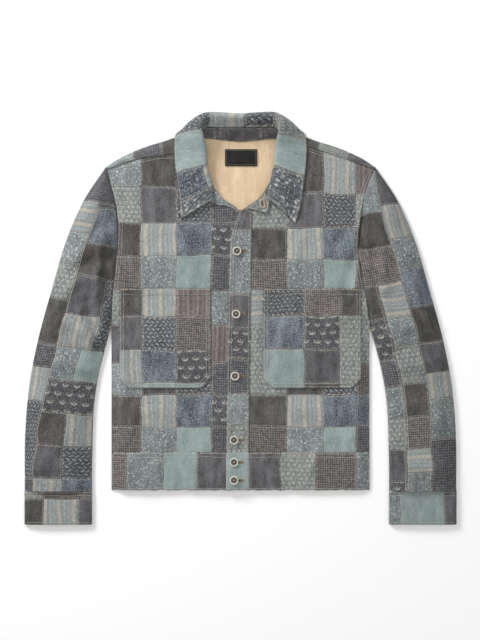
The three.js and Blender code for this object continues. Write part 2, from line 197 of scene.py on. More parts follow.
def soft_noise(x: Array, y: Array, size: float, seed: float) -> Array:
    """Smooth noise from about -1 to 1 with bumps of a size, the same in each run."""
    pairs = zip(np.ravel(x) / size, np.ravel(y) / size)
    return np.array([noise.noise(Vector((a, b, seed))) for a, b in pairs]).reshape(np.shape(x))


# ------------------------------------------------------------------ folds and puckers


@dataclass(frozen=True)
class Fold:
    """A soft ridge, or a trough where its height is negative."""

    start: Point
    end: Point
    width: float
    height: float

    def distances(self, x: Array, y: Array) -> tuple[Array, Array]:
        """How far places lie from the fold's crest, and how far along it.

        Args:
            x: Places' x.
            y: Places' y.

        Returns:
            The distance to the crest, and the run along it.
        """
        ax, ay = self.start
        dx, dy = self.end[0] - ax, self.end[1] - ay
        length = math.hypot(dx, dy)
        t = np.clip(((x - ax) * dx + (y - ay) * dy) / length**2, 0, 1)
        away = np.hypot(x - ax - t * dx, y - ay - t * dy)
        return away, ((x - ax) * dx + (y - ay) * dy) / length

    def height_at(self, x: Array, y: Array) -> Array:
        """How far the fold lifts the cloth at places."""
        away, _ = self.distances(x, y)
        return self.height * np.exp(-((away / self.width) ** 2))


@dataclass(frozen=True)
class Pucker(Fold):
    """The small ripples that stitching draws up along a seam."""

    pitch: float = 8.5

    def height_at(self, x: Array, y: Array) -> Array:
        """How far the ripples lift the cloth at places.

        Args:
            x: Places' x.
            y: Places' y.

        Returns:
            The heights.
        """
        away, run = self.distances(x, y)
        uneven = run / self.pitch + 0.5 * np.sin(run / 23.0) + 0.4 * np.sin(run / 61.0)
        return self.height * np.exp(-away / self.width) * np.sin(2 * math.pi * uneven)


def folds(*rows: Sequence[float]) -> list[Fold]:
    """Folds from rows that hold both ends, the width and the height."""
    return [Fold(row[:2], row[2:4], row[4], row[5]) for row in rows]


def outline_puckers(points: Line, height: float, width: float = 7.0) -> list[Pucker]:
    """Puckers along each side of an outline."""
    return [Pucker(a, b, width, height) for a, b in zip(points, points[1:])]


@dataclass(frozen=True)
class Relief:
    """All that lifts a stretch of cloth: folds, puckers and a gentle unevenness."""

    folds: Sequence[Fold]
    unevenness: float
    spread: float
    seed: float

    def height_at(self, x: Array, y: Array) -> Array:
        """How far the cloth lies above its plain form at places.

        Args:
            x: Places' x.
            y: Places' y.

        Returns:
            The heights.
        """
        lift = self.unevenness * (0.6 + soft_noise(x, y, self.spread, self.seed))
        lift = lift + 0.45 * self.unevenness * soft_noise(x, y, self.spread / 2.7, self.seed + 5)
        return lift + sum(fold.height_at(x, y) for fold in self.folds)


def pocket_outline(side: Side) -> list[Point]:
    """The corners of a patch pocket, from its top outer corner round to the other.

    Args:
        side: Which side.

    Returns:
        The corners.
    """
    low, high = POCKET_SPANS[side]
    cut = POCKET_CORNER
    return [(low, POCKET_TOP_Y), (low, POCKET_BOTTOM_Y + cut), (low + cut, POCKET_BOTTOM_Y),
            (high - cut, POCKET_BOTTOM_Y), (high, POCKET_BOTTOM_Y + cut), (high, POCKET_TOP_Y)]


BODY_RELIEF = Relief(
    folds=(
        *folds(
            (-214, 176, -186, 96, 9, 2.4), (-212, 120, -180, 40, 9, -1.8),
            (-216, 96, -196, 30, 8, 2.0), (206, 176, 182, 100, 9, 2.4),
            (205, 120, 176, 40, 9, -1.8), (208, 96, 190, 30, 8, 2.0),
            (-222, 20, -140, -10, 15, 1.8), (222, 20, 150, -8, 15, 1.8),
            (-60, 150, -150, 190, 18, 1.6), (70, 150, 140, 190, 18, 1.6),
            (-45, 130, -40, -90, 11, 1.8), (27, 130, 31, -90, 7, 1.4),
            (-208, -40, -190, -190, 10, 2.2), (-196, -30, -172, -150, 8, -1.6),
            (206, -40, 196, -200, 10, 2.2), (120, 30, 128, -110, 12, 1.6),
            (-120, 30, -110, -110, 12, 1.6), (-96, 150, -84, 60, 9, 1.8),
            (104, 140, 92, 60, 9, 1.8), (-200, -150, -60, -170, 14, 1.5),
            (60, -150, 200, -176, 14, 1.5), (-212, -130, -160, -150, 9, -1.2),
            (214, -130, 165, -156, 9, -1.2), (58, -276, 14, -240, 5, 2.2),
            (74, -268, 34, -230, 6, -1.8), (-120, -205, -150, -262, 8, 1.5),
            (150, -205, 120, -262, 8, 1.5), (-60, -210, -80, -262, 8, 1.2),
            (192, -205, 180, -262, 8, 1.2)),
        *outline_puckers(pocket_outline(Side.RIGHT), 0.38),
        *outline_puckers(pocket_outline(Side.LEFT), 0.38),
        Pucker((-HALF_BODY, WAIST_Y), (HALF_BODY, WAIST_Y), 9, 0.5),
        Pucker((-HALF_BODY, HEM_Y), (HALF_BODY, HEM_Y), 6, 0.45),
        Pucker((15, WAIST_Y), (20, 190), 6, 0.4), Pucker((-24, WAIST_Y), (-18, 150), 5, 0.35),
    ),
    unevenness=2.3, spread=62, seed=3.7,
)


def front_top(x: Array, y: Array) -> Array:
    """The height of the fronts' outer face, without its patches' own thickness.

    Args:
        x: Places' x.
        y: Places' y.

    Returns:
        The heights.
    """
    closing = blend(0, 20, HALF_BODY - np.abs(x))
    opened = blend(UNDERARM_Y - 50, UNDERARM_Y + 10, y)
    slack = closing + (1 - closing) * opened
    under_collar = blend(150, 178, y) * blend(146, 118, np.abs(x))
    lift = BODY_RELIEF.height_at(x, y) * (1 - under_collar) * slack
    return 2 * WALL + SEAM + SLACK * slack + np.maximum(lift, -2.2)


# ------------------------------------------------------------------ cloths and charts


class Cloth(Enum):
    """The cloths that the patches are cut from, with their letters in the charts."""

    CHARCOAL = "C"
    PLUM = "P"
    STRIPE = "S"
    ACROSS = "H"
    INDIGO = "I"
    NAVY = "V"
    CRESCENT = "R"
    BROWN_CHECK = "B"
    LIGHT_DOT = "D"
    TEAL = "T"
    NAVY_DASH = "N"
    NAVY_SPOT = "O"
    DARK_CHECK = "K"
    BROWN_STRIPE = "M"
    SPRIG = "F"
    CREAM = "W"
    LABEL = "L"


@dataclass(frozen=True)
class Patch:
    """One patch: its cloth, where it lies, and how far it has faded."""

    cloth: Cloth
    u0: float
    u1: float
    v0: float
    v1: float
    tone: float


@dataclass(frozen=True)
class Chart:
    """Which cloth lies where: column lines, row lines from the top down, and cells.

    A dot in the cells runs the patch on its left over one more column.
    """

    columns: Sequence[float]
    rows: Sequence[float]
    cells: Sequence[str]

    def patches(self) -> tuple[list[Patch], dict[tuple[int, int], int]]:
        """The patches, with like cells above each other as one.

        Returns:
            The patches, and the patch of each row and column.
        """
        made: list[Patch] = []
        owner: dict[tuple[int, int], int] = {}
        for c in range(len(self.columns) - 1):
            r = 0
            while r < len(self.cells):
                kind, wide = self.cell(r, c)
                last = r
                while last + 1 < len(self.cells) and self.cell(last + 1, c) == (kind, wide):
                    last += 1
                if kind != ".":
                    seed = random.Random(f"{self.columns[c]:.0f} {self.rows[r]:.0f}")
                    made.append(Patch(Cloth(kind), self.columns[c], self.columns[c + wide],
                                      self.rows[last + 1], self.rows[r], seed.uniform(-1, 1)))
                    owner.update({(k, c + w): len(made) - 1 for k in range(r, last + 1)
                                  for w in range(wide)})
                r = last + 1
        return made, owner

    def cell(self, row: int, column: int) -> tuple[str, int]:
        """The cloth of a cell and how many columns it runs over.

        Args:
            row: The cell's row.
            column: The cell's column.

        Returns:
            The cloth's letter and the count. A dot is the patch to its left, run on.
        """
        letters = self.cells[row]
        wide = 1
        while letters[column + wide : column + wide + 1] == "." and letters[column] != ".":
            wide += 1
        return letters[column], wide


def regular_chart(low: float, high: float, bottom: float, top: float, shift: int) -> Chart:
    """A plain run of patches about 60 by 57 mm for what doesn't show.

    Args:
        low: The first column line.
        high: The last.
        bottom: The lowest row line.
        top: The highest.
        shift: Where in the run of cloths it starts.

    Returns:
        The chart.
    """
    order = "CDNSPTBIKFRM"
    wide, tall = 60, 57
    across = max(1, round((high - low) / wide))
    down = max(1, round((top - bottom) / tall))
    cells = ["".join(order[(shift + 5 * r + 3 * c) % len(order)] for c in range(across))
             for r in range(down)]
    columns = [float(x) for x in np.linspace(low, high, across + 1)]
    return Chart(columns, [float(y) for y in np.linspace(top, bottom, down + 1)], cells)


def grid_lines(borders: Iterable[float], low: float, high: float, step: float) -> Array:
    """Grid lines with one on each patch border and one close on each side of it.

    Args:
        borders: Where patches meet.
        low: The first line.
        high: The last line.
        step: The widest spacing.

    Returns:
        The lines, rising.
    """
    near = [b + k * GROOVE for b in borders for k in (-3, -1, 0, 1, 3)]
    kept = sorted({low, high, *(round(x, 3) for x in near if low + 0.6 < x < high - 0.6)})
    lines = [kept[0]]
    for a, b in zip(kept, kept[1:]):
        parts = max(1, math.ceil((b - a) / step))
        lines += [a + (b - a) * k / parts for k in range(1, parts + 1)]
    return np.array(lines)


# ------------------------------------------------------------------ materials


def linear(code: str) -> tuple[float, float, float, float]:
    """A colour for a socket from its sRGB hex code.

    Args:
        code: The colour's hex code.

    Returns:
        Its linear red, green and blue, and alpha.
    """
    parts = [int(code[k : k + 2], 16) / 255 for k in (1, 3, 5)]
    r, g, b = (c / 12.92 if c <= 0.04045 else ((c + 0.055) / 1.055) ** 2.4 for c in parts)
    return r, g, b, 1.0


class Shader:
    """A material's nodes, added one at a time."""

    def __init__(self, name: str) -> None:
        """Starts a material of this name with an empty tree.

        Args:
            name: The material's name.
        """
        self.material = bpy.data.materials.new(name)
        self.material.use_nodes = True
        self.tree = self.material.node_tree
        self.tree.nodes.clear()

    def add(self, kind: str, *values: object, out: int | str = 0, **settings: object) -> Socket:
        """Adds a node with its settings and links.

        Args:
            kind: The node's type, without the words ShaderNode.
            values: Values or sockets for its inputs in order, and a dict of them by name.
            out: The output that is wanted.
            settings: The node's own settings.

        Returns:
            The wanted output socket.
        """
        node = self.tree.nodes.new(f"ShaderNode{kind}")
        for key, value in settings.items():
            setattr(node, key, value)
        inputs: dict[int | str, object] = {}
        for index, value in enumerate(values):
            inputs.update(value if isinstance(value, dict) else {index: value})
        for key, value in inputs.items():
            if isinstance(value, Socket):
                self.tree.links.new(value, node.inputs[key])
            else:
                node.inputs[key].default_value = value
        return node.outputs[out] if node.outputs else node.inputs[0]


@dataclass(frozen=True)
class CottonCloth:
    """Washed cotton twill: matt, faded in clouds, with slubs along the warp.

    Real twill lines are 0.7 mm apart. They are drawn 1.7 mm apart, so that they show.
    """

    name: str
    ground: str
    faded: str
    cloudiness: float = 1.0
    speckle: float = 0.5
    grain: float = 0.34
    sheen: float = 0.04

    def millimetres(self, shader: Shader) -> Socket:
        """The cloth coordinates, in millimetres."""
        uv = shader.add("UVMap", uv_map="Cloth")
        return shader.add("VectorMath", uv, {"Scale": 1000.0}, operation="SCALE")

    def base(self, shader: Shader, place: Socket) -> Socket:
        """The dyed ground with its clouds and slubs.

        Args:
            shader: The material's nodes.
            place: Cloth coordinates, in millimetres.

        Returns:
            The ground's colour.
        """
        tone = shader.add("Attribute", out="Fac", attribute_name="tone")
        apart = shader.add("VectorMath", (310.0, 170.0, 0.0), {"Scale": tone}, operation="SCALE")
        shifted = shader.add("VectorMath", place, apart)
        streaked = shader.add("VectorMath", shifted, (1 / 15, 1 / 42, 0.0), operation="MULTIPLY")
        clouds = shader.add(
            "TexNoise", {"Vector": streaked, "Scale": 1.0, "Detail": 4.0, "Roughness": 0.6})
        threads = shader.add("VectorMath", shifted, (1 / 1.5, 1 / 15, 0.0), operation="MULTIPLY")
        slubs = shader.add("TexNoise", {"Vector": threads, "Scale": 1.0, "Detail": 2.0})
        cloudy = shader.add("Math", clouds, self.cloudiness, operation="MULTIPLY")
        mixed = shader.add("Math", slubs, 0.42, cloudy, operation="MULTIPLY_ADD")
        share = shader.add(
            "MapRange", mixed, 0.46 * self.cloudiness + 0.1, 0.6 * self.cloudiness + 0.31)
        dyed = shader.add("MixRGB", share, linear(self.ground), linear(self.faded))
        grains = shader.add("TexNoise", {"Vector": shifted, "Scale": 1 / 2.4, "Detail": 2.0})
        worn = shader.add("MapRange", grains, 0.5, 0.68, 0.0, self.speckle)
        return shader.add("MixRGB", worn, dyed, linear("#a2a29c"))

    def pattern(self, shader: Shader, place: Socket, base: Socket) -> Socket:
        """What is woven or printed on the ground. Plain cloth has nothing."""
        return base

    def worn(self, shader: Shader, place: Socket, colour: Socket) -> Socket:
        """Fades the patch's rubbed edges, paints shade along its seams and turned edges, and sets
        its own tone.

        Args:
            shader: The material's nodes.
            place: Cloth coordinates, in millimetres.
            colour: The cloth's colour before wear.

        Returns:
            The colour as worn.
        """
        edge = shader.add("Attribute", out="Fac", attribute_name="edge")
        rub = shader.add("TexNoise", {"Vector": place, "Scale": 1 / 3.2, "Detail": 3.0})
        near = shader.add("MapRange", edge, 0.9, 3.0, 1.0, 0.0)
        fuzzy = shader.add("MapRange", rub, 0.42, 0.66, 0.05, 0.75)
        rubbed = shader.add("Math", near, fuzzy, operation="MULTIPLY")
        colour = shader.add("MixRGB", rubbed, colour, linear("#a3a09a"))
        # Painted shade: the colour falls to half within 0.8 mm of a patch border or turned edge,
        # where a seam's shadow lies.
        seam = shader.add("MapRange", edge, 0.1, 0.8, 0.5, 1.0)
        tone = shader.add("Attribute", out="Fac", attribute_name="tone")
        yarns = shader.add("VectorMath", place, (1 / 2.3, 1 / 5.5, 0.0), operation="MULTIPLY")
        grain = shader.add(
            "TexNoise", {"Vector": yarns, "Scale": 1.0, "Detail": 3.0, "Roughness": 0.7})
        level = shader.add("MapRange", grain, 0.3, 0.7, 1 - self.grain, 1 + self.grain)
        level = shader.add("Math", tone, 0.08, level, operation="MULTIPLY_ADD")
        level = shader.add("Math", level, seam, operation="MULTIPLY")
        return shader.add("VectorMath", colour, {"Scale": level}, operation="SCALE")

    def relief(self, shader: Shader, place: Socket) -> Socket:
        """The weave and its fuzz, as a bumped normal.

        Args:
            shader: The material's nodes.
            place: Cloth coordinates, in millimetres.

        Returns:
            The normal.
        """
        twill = shader.add("TexWave", {"Vector": place, "Scale": 0.19, "Distortion": 1.2,
                                       "Detail": 1.0, "Detail Scale": 2.0},
                           out="Fac", wave_type="BANDS", bands_direction="DIAGONAL")
        fuzz = shader.add(
            "TexNoise", {"Vector": place, "Scale": 0.8, "Detail": 4.0, "Roughness": 0.7})
        height = shader.add("Math", twill, 0.35, fuzz, operation="MULTIPLY_ADD")
        return shader.add("Bump", {"Height": height, "Distance": 0.00035, "Strength": 0.55})

    def make(self) -> bpy.types.Material:
        """Builds the material.

        Returns:
            The material.
        """
        shader = Shader(self.name)
        place = self.millimetres(shader)
        colour = self.worn(shader, place, self.pattern(shader, place, self.base(shader, place)))
        surface = shader.add("BsdfPrincipled", {
            "Base Color": colour, "Roughness": 0.92, "IOR": 1.5,
            "Specular IOR Level": 0.25, "Sheen Weight": self.sheen, "Sheen Roughness": 0.6,
            "Normal": self.relief(shader, place)})
        shader.add("OutputMaterial", {"Surface": surface})
        return shader.material


@dataclass(frozen=True)
class PlainInside(CottonCloth):
    """The cream twill of the jacket's inside, which has no patches and no rubbed seams."""

    def worn(self, shader: Shader, place: Socket, colour: Socket) -> Socket:
        """The inside is hardly worn."""
        return colour


@dataclass(frozen=True)
class LabelWeave(PlainInside):
    """Black satin ribbon with one plain line woven round it."""

    border: str = "#6d6450"

    def worn(self, shader: Shader, place: Socket, colour: Socket) -> Socket:
        """Weaves the line 2 mm in from the edge.

        Args:
            shader: The material's nodes.
            place: Cloth coordinates, in millimetres.
            colour: The cloth's colour.

        Returns:
            The colour as worn.
        """
        edge = shader.add("Attribute", out="Fac", attribute_name="edge")
        off = shader.add("Math", edge, 2.3, operation="SUBTRACT")
        away = shader.add("Math", off, operation="ABSOLUTE")
        drawn = shader.add("MapRange", away, 0.2, 0.45, 0.8, 0.0)
        return shader.add("MixRGB", drawn, colour, linear(self.border))


@dataclass(frozen=True)
class StripedCloth(CottonCloth):
    """Yarn-dyed stripes, woven in, along the warp or turned across it."""

    period: float = 25.0
    stops: Sequence[tuple[float, str]] = ()
    axis: int = 0
    strength: float = 0.85

    def pattern(self, shader: Shader, place: Socket, base: Socket) -> Socket:
        """Lays the stripes over the clouded ground.

        Args:
            shader: The material's nodes.
            place: Cloth coordinates, in millimetres.
            base: The ground's colour.

        Returns:
            The colour with its pattern.
        """
        wobble = shader.add("TexNoise", {"Vector": place, "Scale": 0.12, "Detail": 1.0})
        parts = shader.add("SeparateXYZ", place, out=self.axis)
        across = shader.add("Math", wobble, 2.0, parts, operation="MULTIPLY_ADD")
        run = shader.add("Math", across, self.period, operation="DIVIDE")
        share = shader.add("Math", run, operation="FRACT")
        stripes = shader.add("ValToRGB", {"Fac": share})
        held = stripes.node.color_ramp.elements
        while len(held) < len(self.stops):
            held.new(1.0)
        for stop, (at, code) in zip(held, self.stops):
            stop.position = at
            stop.color = linear(code)
        fade = shader.add("TexNoise", {"Vector": place, "Scale": 0.09, "Detail": 3.0})
        left = shader.add("MapRange", fade, 0.3, 0.7, 0.55 * self.strength, self.strength)
        return shader.add("MixRGB", left, base, stripes)


@dataclass(frozen=True)
class CheckedCloth(CottonCloth):
    """Fine crossed lines, woven in."""

    line: str = "#9a8f88"
    pitch: float = 4.6
    width: float = 0.3
    strength: float = 0.65

    def pattern(self, shader: Shader, place: Socket, base: Socket) -> Socket:
        """Draws the lines both ways.

        Args:
            shader: The material's nodes.
            place: Cloth coordinates, in millimetres.
            base: The ground's colour.

        Returns:
            The colour with its pattern.
        """
        masks = []
        for axis in (0, 1):
            way = shader.add("SeparateXYZ", place, out=axis)
            run = shader.add("Math", way, self.pitch, operation="DIVIDE")
            share = shader.add("Math", run, operation="FRACT")
            off = shader.add("Math", share, 0.5, operation="SUBTRACT")
            away = shader.add("Math", off, operation="ABSOLUTE")
            low, high = self.width / 2, self.width / 2 + 0.08
            masks.append(shader.add("MapRange", away, low, high, 1.0, 0.0))
        both = shader.add("Math", masks[0], masks[1], operation="MAXIMUM")
        rub = shader.add("TexNoise", {"Vector": place, "Scale": 0.16, "Detail": 4.0})
        left = shader.add("MapRange", rub, 0.34, 0.6, 0.25, self.strength)
        share = shader.add("Math", both, left, operation="MULTIPLY")
        return shader.add("MixRGB", share, base, linear(self.line))


class Motif(Enum):
    """The small printed shapes."""

    SCATTER = "scatter"
    DASH = "dash"
    CRESCENT = "crescent"
    SPRIG = "sprig"


@dataclass(frozen=True)
class PrintedCloth(CottonCloth):
    """A small shape printed over and over in half-dropped rows, partly washed out."""

    ink: str = "#b5bcb8"
    motif: Motif = Motif.SCATTER
    pitch: tuple[float, float] = (6.5, 6.0)
    size: float = 0.22
    strength: float = 0.75
    stray: float = 1.6

    def scaled(self, shader: Shader, place: Socket, size: float) -> Socket:
        """Cloth coordinates in shares of the pitch, times a size."""
        each = (size / self.pitch[0], size / self.pitch[1], 0.0)
        return shader.add("VectorMath", place, each, operation="MULTIPLY")

    def cells(self, shader: Shader, place: Socket) -> tuple[Socket, Socket]:
        """Coordinates from each shape's own middle, in shares of the pitch.

        Args:
            shader: The material's nodes.
            place: Cloth coordinates, in millimetres.

        Returns:
            The x and the y from the shape's middle.
        """
        scaled = self.scaled(shader, place, 1.0)
        x = shader.add("SeparateXYZ", scaled, out=0)
        y = shader.add("SeparateXYZ", scaled, out=1)
        row = shader.add("Math", y, operation="FLOOR")
        dropped = shader.add("Math", row, 0.5, x, operation="MULTIPLY_ADD")
        middles = []
        for way in (dropped, y):
            share = shader.add("Math", way, operation="FRACT")
            middles.append(shader.add("Math", share, 0.5, operation="SUBTRACT"))
        return middles[0], middles[1]

    def disc(self, shader: Shader, x: Socket, y: Socket,
             centre: tuple[float, float], radii: tuple[float, float]) -> Socket:
        """A soft-edged ellipse as a mask.

        Args:
            shader: The material's nodes.
            x: The x from the shape's middle.
            y: The y from the shape's middle.
            centre: The ellipse's middle.
            radii: Its half width and half height.

        Returns:
            1 inside and 0 outside.
        """
        joined = shader.add("CombineXYZ", x, y)
        moved = shader.add("VectorMath", joined, (*centre, 0.0), operation="SUBTRACT")
        shares = (1 / radii[0], 1 / radii[1], 0.0)
        scaled = shader.add("VectorMath", moved, shares, operation="MULTIPLY")
        away = shader.add("VectorMath", scaled, out="Value", operation="LENGTH")
        return shader.add("MapRange", away, 0.8, 1.2, 1.0, 0.0)

    def shapes(self, shader: Shader, place: Socket) -> Socket:
        """The mask of the printed shapes.

        Args:
            shader: The material's nodes.
            place: Cloth coordinates, in millimetres.

        Returns:
            The mask.
        """
        s = self.size
        if self.motif is Motif.SCATTER:
            apart = self.scaled(shader, place, 1.0)
            away = shader.add("TexVoronoi", {"Vector": apart, "Scale": 1.0, "Randomness": 0.85})
            return shader.add("MapRange", away, s * 0.6, s * 1.3, 1.0, 0.0)
        x, y = self.cells(shader, place)
        if self.motif is Motif.DASH:
            half_row = shader.add("SeparateXYZ", self.scaled(shader, place, 0.5), out=1)
            row = shader.add("Math", half_row, operation="FRACT")
            lean = shader.add("Math", row, 0.5, operation="GREATER_THAN")
            turn = shader.add("Math", lean, 2.0, -1.0, operation="MULTIPLY_ADD")
            leant = shader.add("Math", y, turn, x, operation="MULTIPLY_ADD")
            return self.disc(shader, leant, y, (0, 0), (s * 0.5, s * 1.25))
        if self.motif is Motif.CRESCENT:
            full = self.disc(shader, x, y, (0, 0), (s, s))
            cut = self.disc(shader, x, y, (0, s * 0.5), (s * 0.8, s * 0.8))
            left = shader.add("Math", full, cut, operation="SUBTRACT", use_clamp=True)
            spot = self.disc(shader, x, y, (0, s * 0.35), (s * 0.22, s * 0.22))
            return shader.add("Math", left, spot, operation="MAXIMUM")
        petals = [self.disc(shader, x, y, (s * math.cos(a), s * math.sin(a)), (s * 0.5, s * 0.5))
                  for a in (0.5, 2.1, 3.6, 5.2)]
        whole = petals[0]
        for petal in petals[1:]:
            whole = shader.add("Math", whole, petal, operation="MAXIMUM")
        return whole

    def pattern(self, shader: Shader, place: Socket, base: Socket) -> Socket:
        """Prints the shapes on the ground.

        Args:
            shader: The material's nodes.
            place: Cloth coordinates, in millimetres.
            base: The ground's colour.

        Returns:
            The colour with its pattern.
        """
        jitter = shader.add("TexNoise", {"Vector": place, "Scale": 0.12}, out="Color")
        shift = shader.add("VectorMath", jitter, {"Scale": self.stray}, operation="SCALE")
        moved = shader.add("VectorMath", place, shift)
        rub = shader.add("TexNoise", {"Vector": place, "Scale": 0.22, "Detail": 4.0})
        left = shader.add("MapRange", rub, 0.36, 0.58, 0.3 * self.strength, self.strength)
        printed = self.shapes(shader, moved)
        share = shader.add("Math", printed, left, operation="MULTIPLY")
        return shader.add("MixRGB", share, base, linear(self.ink))


STRIPES = ((0.0, "#858d8e"), (0.14, "#969b99"), (0.3, "#7f898b"), (0.38, "#aba396"),
           (0.55, "#b1a99c"), (0.65, "#7e888a"), (0.8, "#888f8f"), (0.86, "#a8aba5"),
           (0.92, "#858d8e"), (1.0, "#858d8e"))
BROWN_STRIPES = ((0.0, "#5a5454"), (0.25, "#837874"), (0.45, "#504c4e"), (0.65, "#958883"),
                 (0.85, "#5e5959"), (1.0, "#5a5454"))

# The numbers after the colours are how cloudy and how speckled with wear a cloth is, and how
# uneven its yarns are.
CLOTHS: dict[Cloth, CottonCloth] = {
    # Sulphur-dyed twill: warm near-black that greys in long clouds.
    Cloth.CHARCOAL: CottonCloth("charcoal_twill_washed", "#3d3c3b", "#5e5c5a", 1.0, 0.16, 0.24),
    # Twill washed from navy to a violet grey, the calmest patches.
    Cloth.PLUM: CottonCloth("slate_plum_twill_washed", "#494749", "#6a686c", 1.0, 0.16, 0.22),
    # Yarn-dyed ticking: soft cream and teal bars with no hard edge.
    Cloth.STRIPE: StripedCloth("stripe_woven", "#7e8687", "#989891", 1.2, 0.55, 0.3, stops=STRIPES,
                               strength=0.9),
    # The same ticking, turned so its bars run across.
    Cloth.ACROSS: StripedCloth("stripe_woven_across", "#7e8687", "#989891", 1.2, 0.55, 0.3,
                               stops=STRIPES, axis=1, strength=0.9),
    # Rope-dyed twill, rubbed pale on its high yarns.
    Cloth.INDIGO: CottonCloth("indigo_twill_faded", "#424a55", "#717b86", 1.4, 0.7),
    # The same, dyed deeper and less worn.
    Cloth.NAVY: CottonCloth("navy_twill_worn", "#363c46", "#5a626c", 1.3, 0.6),
    # Discharge print: pale crescents in half-dropped rows on dark cloth.
    Cloth.CRESCENT: PrintedCloth("crescent_print_dark", "#404146", "#525357", 1.0, 0.4,
                                 ink="#bcbdb2", motif=Motif.CRESCENT, pitch=(19.0, 15.0),
                                 size=0.27),
    # Woven check, a fine pale net on brown.
    Cloth.BROWN_CHECK: CheckedCloth("brown_check_woven", "#3d3939", "#4e4a49", 1.0, 0.2,
                                    line="#938c88", pitch=3.9, width=0.22, strength=0.85),
    # Resist print: close pale dots that break up in the wash.
    Cloth.LIGHT_DOT: PrintedCloth("light_dot_print", "#626b6e", "#7e8687", 1.3, 0.7,
                                  ink="#bec2be", motif=Motif.SCATTER, pitch=(4.5, 4.3), size=0.3,
                                  strength=1.0, stray=2.0),
    # Chambray, plain and pale, the lightest patches.
    Cloth.TEAL: CottonCloth("pale_teal_chambray", "#7b8a89", "#919f9d", 1.0, 0.2, 0.16),
    # Resist print: dashes that lean each way by turns, row by row.
    Cloth.NAVY_DASH: PrintedCloth("navy_dash_print", "#3f4248", "#54575c", 1.0, 0.5,
                                  ink="#c2c5c2", motif=Motif.DASH, pitch=(8.4, 6.6), size=0.21,
                                  strength=1.0, stray=3.2),
    # The same on deeper blue, with its dots drawn out along the warp.
    Cloth.NAVY_SPOT: PrintedCloth("navy_spot_print", "#42464c", "#585c61", 1.0, 0.6,
                                  ink="#b9bdbb", motif=Motif.SCATTER, pitch=(4.6, 6.4),
                                  size=0.3, strength=1.0, stray=1.6),
    # Woven check, a grey net on near-black.
    Cloth.DARK_CHECK: CheckedCloth("dark_check_woven", "#343436", "#444447", 1.0, 0.2,
                                   line="#7e7e82", pitch=4.2, width=0.24, strength=0.8),
    # Yarn-dyed stripes, rose brown, low in contrast.
    Cloth.BROWN_STRIPE: StripedCloth("brown_stripe_woven", "#5d5553", "#736a66", 1.0, 0.45,
                                     stops=BROWN_STRIPES, period=17.0, strength=0.7),
    # Block print: four-petal sprigs, half washed out of a grey ground.
    Cloth.SPRIG: PrintedCloth("sprig_print_grey", "#636869", "#80847f", 1.2, 0.8,
                              ink="#babdb7", motif=Motif.SPRIG, pitch=(9.0, 8.0), size=0.2,
                              strength=0.95, stray=3.0),
    # Satin ribbon, denser and blacker than any cloth.
    Cloth.LABEL: LabelWeave("black_satin_label", "#191819", "#272627", 0.8, 0.0),
    # The twill of the inside, undyed and warm.
    Cloth.CREAM: PlainInside("cream_twill_inside", "#c8ae8e", "#dcc5a7", 0.8, 0.0),
}


@dataclass
class Wardrobe:
    """The cloth materials, each made once, and the sheets and objects made so far."""

    made: dict[Cloth, bpy.types.Material] = field(default_factory=dict)
    sheets: dict[str, Sheet] = field(default_factory=dict)
    pieces: list[bpy.types.Object] = field(default_factory=list)

    def get(self, cloth: Cloth) -> bpy.types.Material:
        """The material of a cloth, built when it is first asked for."""
        if cloth not in self.made:
            self.made[cloth] = CLOTHS[cloth].make()
        return self.made[cloth]


@dataclass(frozen=True)
class PlainFinish:
    """A finish with one colour, a little clouded, that reads Object coordinates."""

    name: str
    colour: str
    other: str
    roughness: float
    grain: float
    bump: float = 0.0001
    ior: float = 1.5

    def make(self) -> bpy.types.Material:
        """Builds the material.

        Returns:
            The material.
        """
        shader = Shader(self.name)
        place = shader.add("TexCoord", out="Object")
        clouds = shader.add(
            "TexNoise", {"Vector": place, "Scale": 1000 / self.grain, "Detail": 3.0})
        share = shader.add("MapRange", clouds, 0.35, 0.65)
        colour = shader.add("MixRGB", share, linear(self.colour), linear(self.other))
        normal = shader.add("Bump", {"Height": clouds, "Distance": self.bump, "Strength": 0.4})
        surface = shader.add("BsdfPrincipled", {
            "Base Color": colour, "Roughness": self.roughness, "IOR": self.ior,
            "Normal": normal})
        shader.add("OutputMaterial", {"Surface": surface})
        return shader.material


# Spun cotton sewing thread, dull and hairy, so each stitch is a soft pale dash.
PALE_THREAD = PlainFinish("pale_cotton_thread", "#c2c0b6", "#a5a49c", 0.85, 1.2)
# The same, undyed and greyed by washing, so the hand stitches fade into the patches.
PATCH_THREAD = PlainFinish("grey_cotton_thread_hand_sewn", "#b9b7ae", "#98978f", 0.88, 1.2)
# Hard-laid twist, a warm tan line at the buttonholes and bar tacks.
TAN_THREAD = PlainFinish("tan_buttonhole_twist", "#9a8569", "#78654d", 0.8, 1.0)
# The same twist, paler and pinker, round the collar's open buttonhole.
ROSE_THREAD = PlainFinish("rose_beige_buttonhole_twist", "#b7a294", "#93806f", 0.8, 1.0)
# Moulded urea, smooth but handled dull, so the cream ring has one soft highlight.
BUTTON_RIM = PlainFinish("cream_urea_moulded_aged", "#d2d0c3", "#b5b1a2", 0.38, 3.0, 0.00006)
# Black sewing thread, matt on the label's satin.
LABEL_THREAD = PlainFinish("black_sewing_thread", "#242323", "#3a3836", 0.8, 1.2)
# Painted shade: cloth in the shadow inside a cut, painted nearly black.
SLIT_SHADE = PlainFinish("charcoal_cloth_edge_in_slit", "#35312d", "#221f1c", 0.95, 1.2)
# The button's dish, a dark olive grey round its thread, much darker than the rim.
BUTTON_DISH = PlainFinish("urea_dish_stained", "#5f5a4c", "#403c33", 0.55, 2.0)


# ------------------------------------------------------------------ sheets


def select_none() -> None:
    """Deselects every object."""
    for other in bpy.context.selected_objects:
        other.select_set(False)


def select_only(obj: bpy.types.Object) -> None:
    """Selects one object and makes it active.

    Args:
        obj: The object.
    """
    select_none()
    obj.select_set(True)
    bpy.context.view_layer.objects.active = obj


